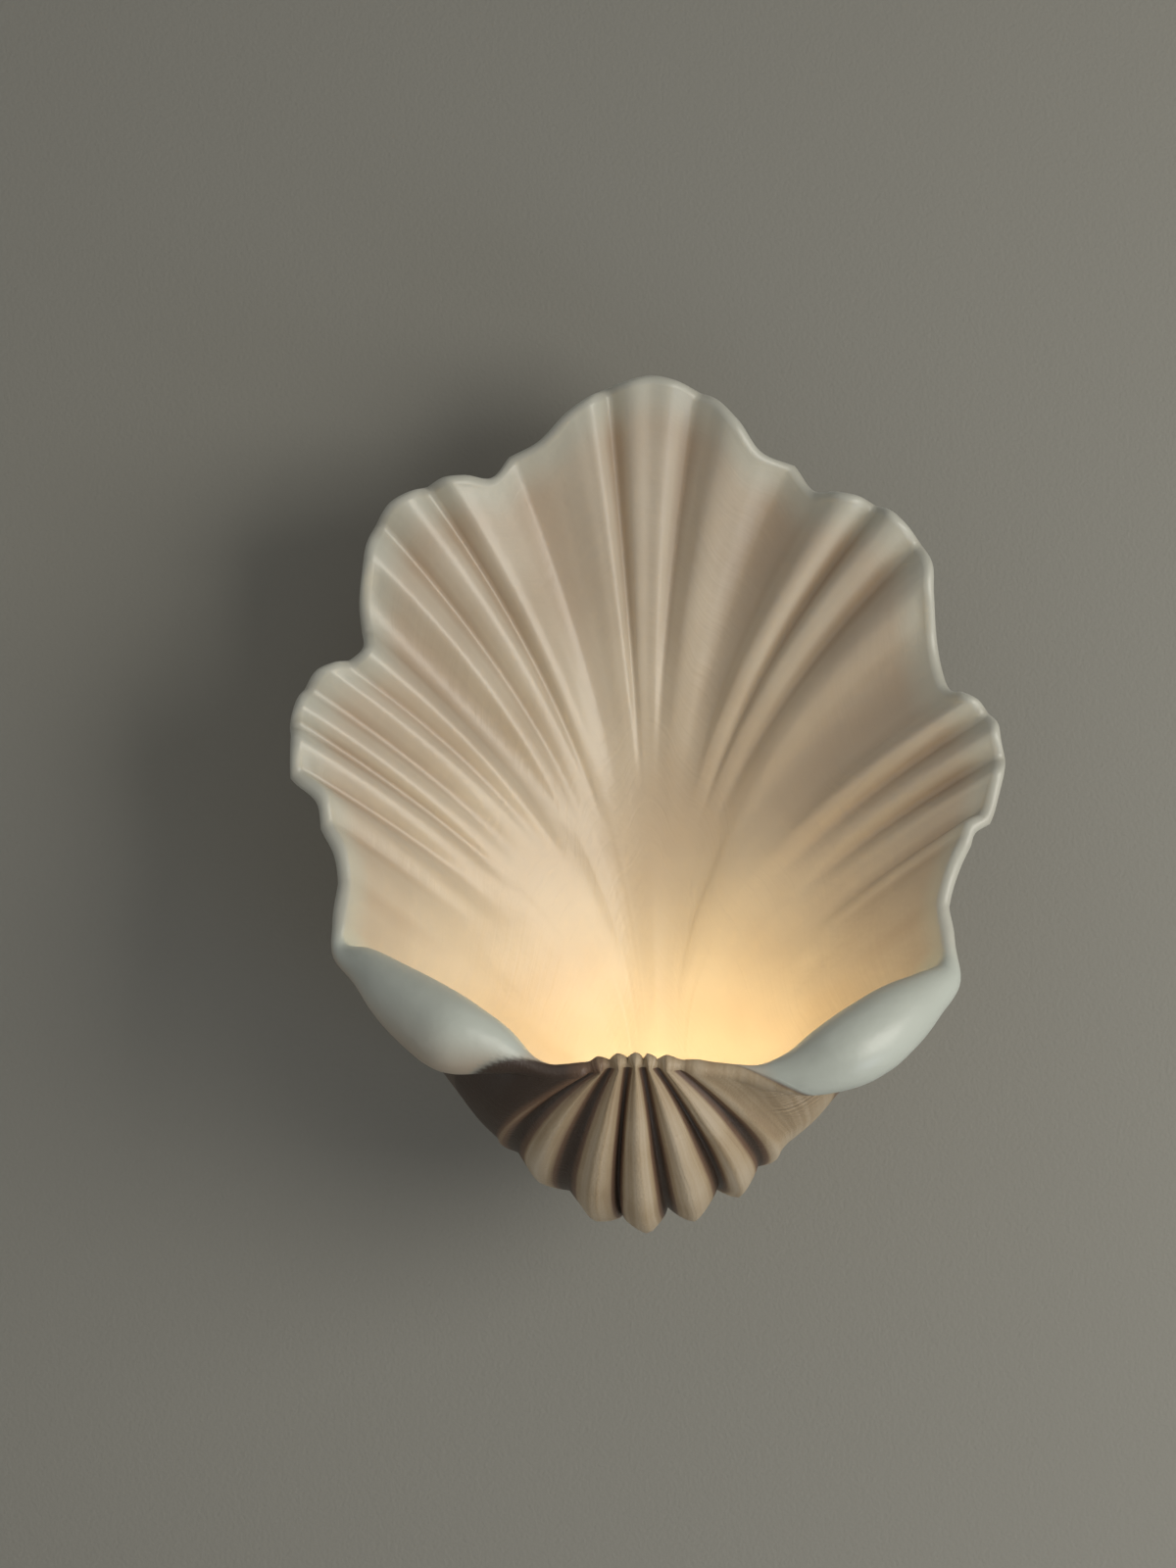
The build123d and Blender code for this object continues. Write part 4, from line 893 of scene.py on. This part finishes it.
@dataclass
class HangingHardware:
    """Screws that hold the shell to its hanger plate, the lock screw, and the bosses they need."""

    bosses_at: tuple[tuple[float, float, float], ...] = ((-36.0, 46.0, 38.5), (36.0, 46.0, 36.8),
                                                         (-36.0, 66.0, 39.5), (36.0, 66.0, 37.6))
    boss_radius: float = 7.0
    boss_sides: int = 64
    boss_face: float = 12.0
    insert_radius: float = 3.0
    insert_length: float = 10.0
    sheet: float = 2.0
    lock_place: tuple[float, float, float] = (8.0, -20.0, -150.0)
    knurls: int = 40
    knob_radius: float = 6.0
    knurl_depth: float = 0.35
    thread_radius: float = 2.5
    thread_pitch: float = 0.8
    thread_depth: float = 0.3

    def bosses(self, glaze: bpy.types.Material) -> bpy.types.Object:
        """Make the four bosses cast on the shell's back, each with its blind hole.

        The profile runs from the hole's bottom out over the rounded face, along the side and
        into the shell's wall, at the depth where the wall is.
        """
        grids = []
        for x, z, depth in self.bosses_at:
            r, hole, face = self.boss_radius, self.insert_radius, -self.boss_face
            profile = np.array([(0, -depth), (r, -depth), (r, face - 0.8), (r - 0.25, face - 0.25),
                                (r - 0.8, face), (hole, face), (hole, face - self.insert_length),
                                (0, face - self.insert_length)])
            grids.append(turned(profile[:, :1] * MM * np.ones(self.boss_sides), profile[:, 1:] * MM,
                                at_mm(x, 0, z), Facing.WALL))
        piece = fuse(surface("shell_bosses", grids, False, True))
        for name in ("outside", "lip", "hollow", "wrinkled", "growth", "across"):
            mark(piece, name, np.full(len(piece.data.vertices), float(name == "outside")))
        piece.data.materials.append(glaze)
        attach(piece, "shell_unit")
        return piece

    def lock_screw(self) -> bpy.types.Object:
        """Make the knurled lock screw.

        Over the head's side two crossed sets of ridges leave a diamond pattern, and the thread
        is a saw that climbs one pitch in each turn.
        """
        columns = 6 * self.knurls
        around = np.arange(columns) / columns
        high = np.linspace(-5.2, -0.5, 26)[:, None]
        cross = np.maximum(saw(around * self.knurls + high), saw(around * self.knurls - high))
        side = self.knob_radius - self.knurl_depth * (1 - cross)
        climb = np.linspace(0.0, 9.0, 73)[:, None]
        grooves = (1 - saw(climb / self.thread_pitch - around)) * smooth_step(climb / 1.0)
        thread = self.thread_radius - self.thread_depth * grooves
        flat = np.ones(columns)
        below, above, tip = ([[0.0], [3.6], [4.0], [5.1], [5.6]], [[5.5], [5.1], [2.5]], [[1.9], [0.0]])
        radius = np.concatenate([np.array(below) * flat, side, np.array(above) * flat, thread,
                                 np.array(tip) * flat])
        height = np.concatenate([np.array([[-5.7], [-5.7], [-6.0], [-6.0], [-5.6]]), high,
                                 np.array([[-0.15], [0.0], [0.0]]), climb, np.array([[9.3], [9.3]])])
        return fuse(surface("knurled_lock_screw", [turned(radius * MM, height * MM, at_mm(*self.lock_place),
                                                          Facing.UP)], False, True))

    def build(self, materials: Materials) -> list[bpy.types.Object]:
        """Make all pieces of the hanging hardware."""
        screw = Screw(3.6 * MM, 2.2 * MM, 1.95 * MM, 8 * MM, Drive.CROSS, 1.2 * MM)
        spots = [(at_mm(x, self.sheet - self.boss_face, z), Facing.WALL) for x, z, _ in self.bosses_at]
        return [self.bosses(materials["glazed_shell"]),
                dress(screw.build("hanger_plate_screws", spots), "hanger_screws", "shell_unit", materials),
                dress(self.lock_screw(), "lock_screw", "lock_screw_body", materials)]


@dataclass
class LampCarrier:
    """What carries the lamp: the hollow thread through the seat, and the strap's cross screws."""

    lamp: tuple[float, float] = (8.0, -128.0)
    start: float = 33.5
    end: float = 57.7
    radius: float = 5.0
    bore: float = 3.5
    pitch: float = 1.0
    strap_inside: float = 10.0
    cross_place: float = 64.7

    def hollow_thread(self) -> bpy.types.Object:
        """Make the M10 hollow thread: a saw that climbs one pitch in each turn, with chamfered
        ends, round a plain bore."""
        columns = 72
        around = np.arange(columns) / columns
        climb = np.arange(self.start, self.end + 0.01, 0.125)[:, None]
        ends = np.minimum(climb - self.start, self.end - climb)
        outer = self.radius - np.maximum(0.45 * (1 - saw(climb / self.pitch - around)), 0.7 - ends)
        inner = self.bore + np.maximum(0, 0.5 - ends[::-4]) + 0 * around
        radius = np.concatenate([outer, inner])
        height = np.concatenate([climb, climb[::-4]])
        place = at_mm(self.lamp[0], 0, self.lamp[1])
        return surface("hollow_thread", [turned(radius * MM, height * MM, place, Facing.ROOM)], True, True)

    def build(self, materials: Materials) -> list[bpy.types.Object]:
        """Make the hollow thread and the two cross screws."""
        screw = Screw(2.5 * MM, 1.6 * MM, 1.15 * MM, 4.2 * MM, Drive.CROSS, 0.8 * MM)
        arm = self.strap_inside + 1.2
        spots = [(at_mm(self.lamp[0] - arm, -self.cross_place, self.lamp[1]), Facing.LEFT),
                 (at_mm(self.lamp[0] + arm, -self.cross_place, self.lamp[1]), Facing.RIGHT)]
        return [dress(self.hollow_thread(), "nipple", "shell_unit", materials),
                dress(screw.build("strap_cross_screws", spots), "saddle_screws", "shell_unit", materials)]


@dataclass
class CapsuleLamp:
    """The capsule lamp's coil, wound along a hoop inside the quartz."""

    lamp: tuple[float, float] = (8.0, -128.0)
    leg_start: float = 85.05
    dome: float = 107.5
    half_width: float = 2.0
    coil_radius: float = 0.23
    wire_radius: float = 0.11
    turns: int = 96
    steps: int = 14
    sides: int = 6

    def coil(self) -> bpy.types.Object:
        """Make the coil.

        The hoop runs straight out, half round and straight back. The coil's middle line circles
        the hoop at the coil's radius, and the wire is a tube round that line.
        """
        leg = self.dome - self.leg_start
        bend = np.pi * self.half_width
        run = np.linspace(0, 1, self.turns * self.steps + 1) * (2 * leg + bend)
        turn = np.clip((run - leg) / self.half_width, 0, np.pi)
        past = np.clip(run - leg - bend, 0, None)
        x = -self.half_width * np.cos(turn)
        out = np.minimum(run, leg) - past + self.half_width * np.sin(turn)
        hoop = np.stack([self.lamp[0] + x, -self.leg_start - out, np.full(len(run), self.lamp[1])], axis=-1)
        heading = unit(np.gradient(hoop, axis=0))
        rise = np.array([0.0, 0.0, 1.0])
        beside = np.cross(heading, rise)
        spin = 2 * np.pi * np.arange(len(run)) / self.steps
        line = hoop + self.coil_radius * (np.cos(spin)[:, None] * beside + np.sin(spin)[:, None] * rise)
        along = unit(np.gradient(line, axis=0))
        away = unit(line - hoop)
        away = unit(away - along * (away * along).sum(-1, keepdims=True))
        third = np.cross(along, away)
        angle = 2 * np.pi * np.arange(self.sides) / self.sides
        ring = np.cos(angle)[None, :, None] * away[:, None] + np.sin(angle)[None, :, None] * third[:, None]
        size = np.full(len(run), self.wire_radius)
        size[[0, -1]] = 0
        tube = line[:, None] + ring * size[:, None, None]
        return fuse(surface("tungsten_coil", [tube * MM], False, True))

    def build(self, materials: Materials) -> list[bpy.types.Object]:
        """Make the coil and let it stand for the CAD filament."""
        return [dress(self.coil(), "filament", "capsule_lamp", materials)]


@dataclass
class TerminalScrews:
    """Slotted screws of the terminal block's tubes, and the two that hold the block."""

    pitch: float = 10.0
    block_height: float = -62.0
    half_height: float = 9.0
    tube_face: float = 10.6
    block_face: float = 16.0

    def build(self, materials: Materials) -> list[bpy.types.Object]:
        """Make both kinds of screws."""
        clamp = Screw(1.9 * MM, 1.6 * MM, 1.2 * MM, 0.9 * MM, Drive.SLOT, 0.6 * MM)
        half = self.half_height / 2
        clamps = [(at_mm(x, -self.tube_face - 0.9, self.block_height + rise), Facing.ROOM)
                  for x in (-self.pitch, 0, self.pitch) for rise in (-half, half)]
        fixing = Screw(2.4 * MM, 1.4 * MM, 1.55 * MM, 16 * MM, Drive.CROSS, 0.7 * MM)
        fixings = [(at_mm(x, -self.block_face, self.block_height), Facing.ROOM)
                   for x in (-self.pitch / 2, self.pitch / 2)]
        return [dress(clamp.build("slotted_clamp_screws", clamps), "terminal_screws", "wall_unit", materials),
                dress(fixing.build("block_fixing_screws", fixings), "block_screws", "wall_unit", materials)]


# ---------------------------------------------------------------- stage, light and camera
@dataclass
class Stage:
    """A plain pale wall behind the object and a plain pale floor below it."""

    wall_colour: str = "#95948c"
    floor_colour: str = "#d9d6cf"
    air_colour: str = "#e4e1db"
    half_width: float = 1.6
    floor_height: float = -1.4
    wall_top: float = 1.1
    air_strength: float = 0.22
    mirror_gap: float = 10 * MM

    def plane(self, name: str, corners: np.ndarray, material: bpy.types.Material) -> bpy.types.Object:
        """Make one flat piece from its four corners."""
        piece = surface(name, [corners.reshape(2, 2, 3)], False, False)
        piece.data.materials.append(material)
        return piece

    def wall_paint(self) -> bpy.types.Material:
        """Matt paint with a roller's fine stipple. It shows to the camera from the room only and
        lets the studio's light through."""
        paint = bpy.data.materials.new("matt_wall_paint")
        paint.use_nodes = True
        tree = paint.node_tree
        shader, output = tree.nodes["Principled BSDF"], tree.nodes["Material Output"]
        shader.inputs["Base Color"].default_value = linear(self.wall_colour)
        shader.inputs["Roughness"].default_value = 0.9
        place = add(tree, "ShaderNodeTexCoord").outputs["Object"]
        stipple = add(tree, "ShaderNodeTexNoise", {"Vector": place, "Scale": 1 / (1.8 * MM), "Detail": 2.0})
        bump = add(tree, "ShaderNodeBump", {"Height": stipple.outputs["Fac"], "Distance": 0.25 * MM})
        tree.links.new(bump.outputs["Normal"], shader.inputs["Normal"])
        path = add(tree, "ShaderNodeLightPath")
        side = add(tree, "ShaderNodeNewGeometry")
        # a mirror closer to the wall than this shows the pale air and not the wall in its own shade
        far = add(tree, "ShaderNodeMath", {0: path.outputs["Ray Length"], 1: self.mirror_gap},
                  operation="GREATER_THAN")
        glossy = add(tree, "ShaderNodeMath", {0: path.outputs["Is Glossy Ray"], 1: far.outputs["Value"]},
                     operation="MULTIPLY")
        seen = add(tree, "ShaderNodeMath", {0: path.outputs["Is Camera Ray"], 1: glossy.outputs["Value"]},
                   operation="MAXIMUM")
        front = add(tree, "ShaderNodeMath", {0: seen.outputs["Value"], 1: side.outputs["Backfacing"]},
                    operation="SUBTRACT", use_clamp=True)
        clear = add(tree, "ShaderNodeBsdfTransparent")
        mix = add(tree, "ShaderNodeMixShader", {0: front.outputs["Value"], 1: clear.outputs["BSDF"],
                                                2: shader.outputs["BSDF"]})
        tree.links.new(mix.outputs["Shader"], output.inputs["Surface"])
        return paint

    def build(self) -> None:
        """Make the wall, the floor and the pale air, and leave them out of the object."""
        w, low, high, gap = self.half_width, self.floor_height, self.wall_top, 0.5 * MM
        wall = self.plane("backdrop_wall", np.array([[-w, gap, low], [w, gap, low], [-w, gap, high],
                                                     [w, gap, high]]), self.wall_paint())
        floor_finish = Finish("pale_floor", self.floor_colour, 0.8, grain_mm=30, tone_spread=0.01)
        floor = self.plane("floor", np.array([[-w, -w * 2, low], [w, -w * 2, low], [-w, w, low],
                                              [w, w, low]]), floor_finish.material())
        world = bpy.data.worlds.new("studio_air")
        world.use_nodes = True
        bpy.context.scene.world = world
        tree = world.node_tree
        background, output = tree.nodes["Background"], tree.nodes["World Output"]
        background.inputs["Color"].default_value = linear("#ffffff")
        background.inputs["Strength"].default_value = self.air_strength
        path = add(tree, "ShaderNodeLightPath")
        seen = add(tree, "ShaderNodeMath", {0: path.outputs["Is Camera Ray"],
                                            1: path.outputs["Is Glossy Ray"]}, operation="MAXIMUM")
        seen = add(tree, "ShaderNodeMath", {0: seen.outputs["Value"], 1: path.outputs["Is Transmission Ray"]},
                   operation="MAXIMUM")
        shown = add(tree, "ShaderNodeBackground", {"Color": linear(self.air_colour), "Strength": 1.0})
        mix = add(tree, "ShaderNodeMixShader", {0: seen.outputs["Value"], 1: background.outputs["Background"],
                                                2: shown.outputs["Background"]})
        tree.links.new(mix.outputs["Shader"], output.inputs["Surface"])


@dataclass
class Studio:
    """Soft daylight from the right, weak fills from above, below and behind, and the lamp's own
    warm light. The light from below stands above the floor, or the floor would hide it."""

    key_watts: float = 20.5
    fill_watts: float = 1.2
    bounce_watts: float = 6.0
    back_watts: float = 6.0
    lamp_watts: float = 0.185
    core_watts: float = 0.05
    lamp_colour: str = "#ffe1ab"
    lamp_size: float = 8 * MM
    lamp_place: tuple[float, float, float] = (7 * MM, -112 * MM, -90 * MM)
    core_place: tuple[float, float, float] = (11 * MM, -90 * MM, -106 * MM)

    def area(self, name: str, place: Sequence[float], aim: Sequence[float], size: float, watts: float,
             colour: str) -> bpy.types.Object:
        """Hang one soft square light that shines from place to aim."""
        lamp = bpy.data.lights.new(name, "AREA")
        lamp.size, lamp.energy, lamp.color = size, watts, linear(colour)[:3]
        return self.hang(name, lamp, place, aim)

    def hang(self, name: str, lamp: bpy.types.Light, place: Sequence[float],
             aim: Sequence[float]) -> bpy.types.Object:
        """Put a light in the scene, unseen by the camera."""
        holder = bpy.data.objects.new(name, lamp)
        bpy.context.scene.collection.objects.link(holder)
        holder.location = place
        holder.rotation_euler = (Vector(aim) - Vector(place)).to_track_quat("-Z", "Y").to_euler()
        holder.visible_camera = False
        return holder

    def build(self) -> None:
        """Hang the lights."""
        self.area("window_light", (1.42, -1.25, 0.0), (0.5, 0, -0.8), 1.2, self.key_watts, "#fffaf0")
        self.area("sky_fill", (-0.9, -1.2, 1.5), (0, 0, 0), 1.2, self.fill_watts, "#f6f3ea")
        self.area("floor_bounce", (1.3, -0.9, -1.3), (0.4, 0, -0.7), 0.8, self.bounce_watts, "#dfe9ff")
        self.area("back_fill", (0.3, 1.4, 0.9), (0, 0, 0), 1.4, self.back_watts, "#ffffff")
        for name, watts, place in (("lamp_glow", self.lamp_watts, self.lamp_place),
                                   ("lamp_core", self.core_watts, self.core_place)):
            glow = bpy.data.lights.new(name, "POINT")
            glow.shadow_soft_size, glow.energy = self.lamp_size, watts
            glow.color = linear(self.lamp_colour)[:3]
            self.hang(name, glow, place, (0, -1, 0)).visible_glossy = False


@dataclass
class Viewpoint:
    """The photograph's camera: level, square to the wall, a little above the shell's middle."""

    place: tuple[float, float, float] = (-26 * MM, -1.700, 24 * MM)
    focal_pixels: float = 3520.0
    long_side_pixels: float = 1600.0
    sensor: float = 36.0

    def build(self) -> None:
        """Create the camera with the photograph's angle of view."""
        eye = bpy.data.cameras.new("photo_camera")
        eye.sensor_width = self.sensor
        eye.lens = self.sensor * self.focal_pixels / self.long_side_pixels
        holder = bpy.data.objects.new("photo_camera", eye)
        bpy.context.scene.collection.objects.link(holder)
        holder.location = self.place
        holder.rotation_euler = (math.pi / 2, 0, 0)
        bpy.context.scene.camera = holder


# ---------------------------------------------------------------- everything together
FINISHES: dict[str, Finish] = {
    "brass": Finish("turned_brass", "#c2a05a", 0.28, metallic=1.0, grain_mm=0.6, relief_mm=0.004),
    "zinc_steel": RolledSheet("zinc_plated_sheet", "#b4b6b8", 0.36, metallic=1.0, grain_mm=0.8,
                              relief_mm=0.006),
    "steel_screws": Finish("bright_zinc_screws", "#b9babb", 0.3, metallic=1.0, grain_mm=0.5, relief_mm=0.004),
    "black_rubber": Finish("moulded_rubber", "#1d1d1e", 0.62, grain_mm=0.4, relief_mm=0.02),
    "brass_knob": Finish("knurled_brass", "#b9954c", 0.34, metallic=1.0, grain_mm=0.5, relief_mm=0.01),
    "fibre": Finish("vulcanised_fibre", "#7c3a26", 0.6, grain_mm=0.5, relief_mm=0.02, tone_spread=0.12),
    "porcelain": Finish("lampholder_porcelain", "#ece9e1", 0.3, grain_mm=3.0, relief_mm=0.01,
                        tone_spread=0.02),
    "contact_nickel": Finish("nickel_plating", "#b7b2a8", 0.25, metallic=1.0, grain_mm=0.5, relief_mm=0.003),
    "lamp_glass": ClearQuartz("fused_quartz", "#f7f7f4", 0.03, ior=1.46, grain_mm=2.0, relief_mm=0.01),
    "filament_glow": GlowingTungsten("glowing_tungsten", "#8c7a60", 0.5, grain_mm=0.3),
    "block_plastic": Finish("moulded_polyamide", "#e3e0d4", 0.45, grain_mm=0.8, relief_mm=0.015,
                            tone_spread=0.02),
    "brown_sleeve": Finish("brown_silicone_sleeve", "#5b3623", 0.5, grain_mm=0.5),
    "blue_sleeve": Finish("blue_silicone_sleeve", "#2f5c9c", 0.5, grain_mm=0.5),
    "green_sleeve": StripedSleeve("striped_earth_sleeve", "#4d8a2c", 0.5, grain_mm=0.5),
    "glazed_shell": GlazedCasting("glazed_stoneware", "#c9bfae", 0.34, ior=1.52, relief_mm=0.25),
}


def dress_nodes(materials: Materials) -> None:
    """Give each CAD node the material of its slot in the record."""
    for row in frame["record"]["subparts"]:
        node = frame["nodes"][row["node"]]
        node.data.materials.clear()
        node.data.materials.append(materials[row["material_slot"]])


def main() -> None:
    """Build the stage, the light, the camera and every piece in order."""
    logging.basicConfig(level=logging.INFO, format="%(name)s: %(message)s", stream=sys.stdout)
    bpy.context.scene.view_settings.view_transform = "Standard"
    materials = {slot: finish.material() for slot, finish in FINISHES.items()}
    dress_nodes(materials)
    pieces = [ShellCasting().build(materials["glazed_shell"])]
    for part in (HangingHardware(), LampCarrier(), CapsuleLamp(), TerminalScrews()):
        pieces += part.build(materials)
    for piece in pieces:
        log.info("%s: %d faces", piece.name, len(piece.data.polygons))
    Stage().build()
    Studio().build()
    Viewpoint().build()


if __name__ == "__main__":
    main()
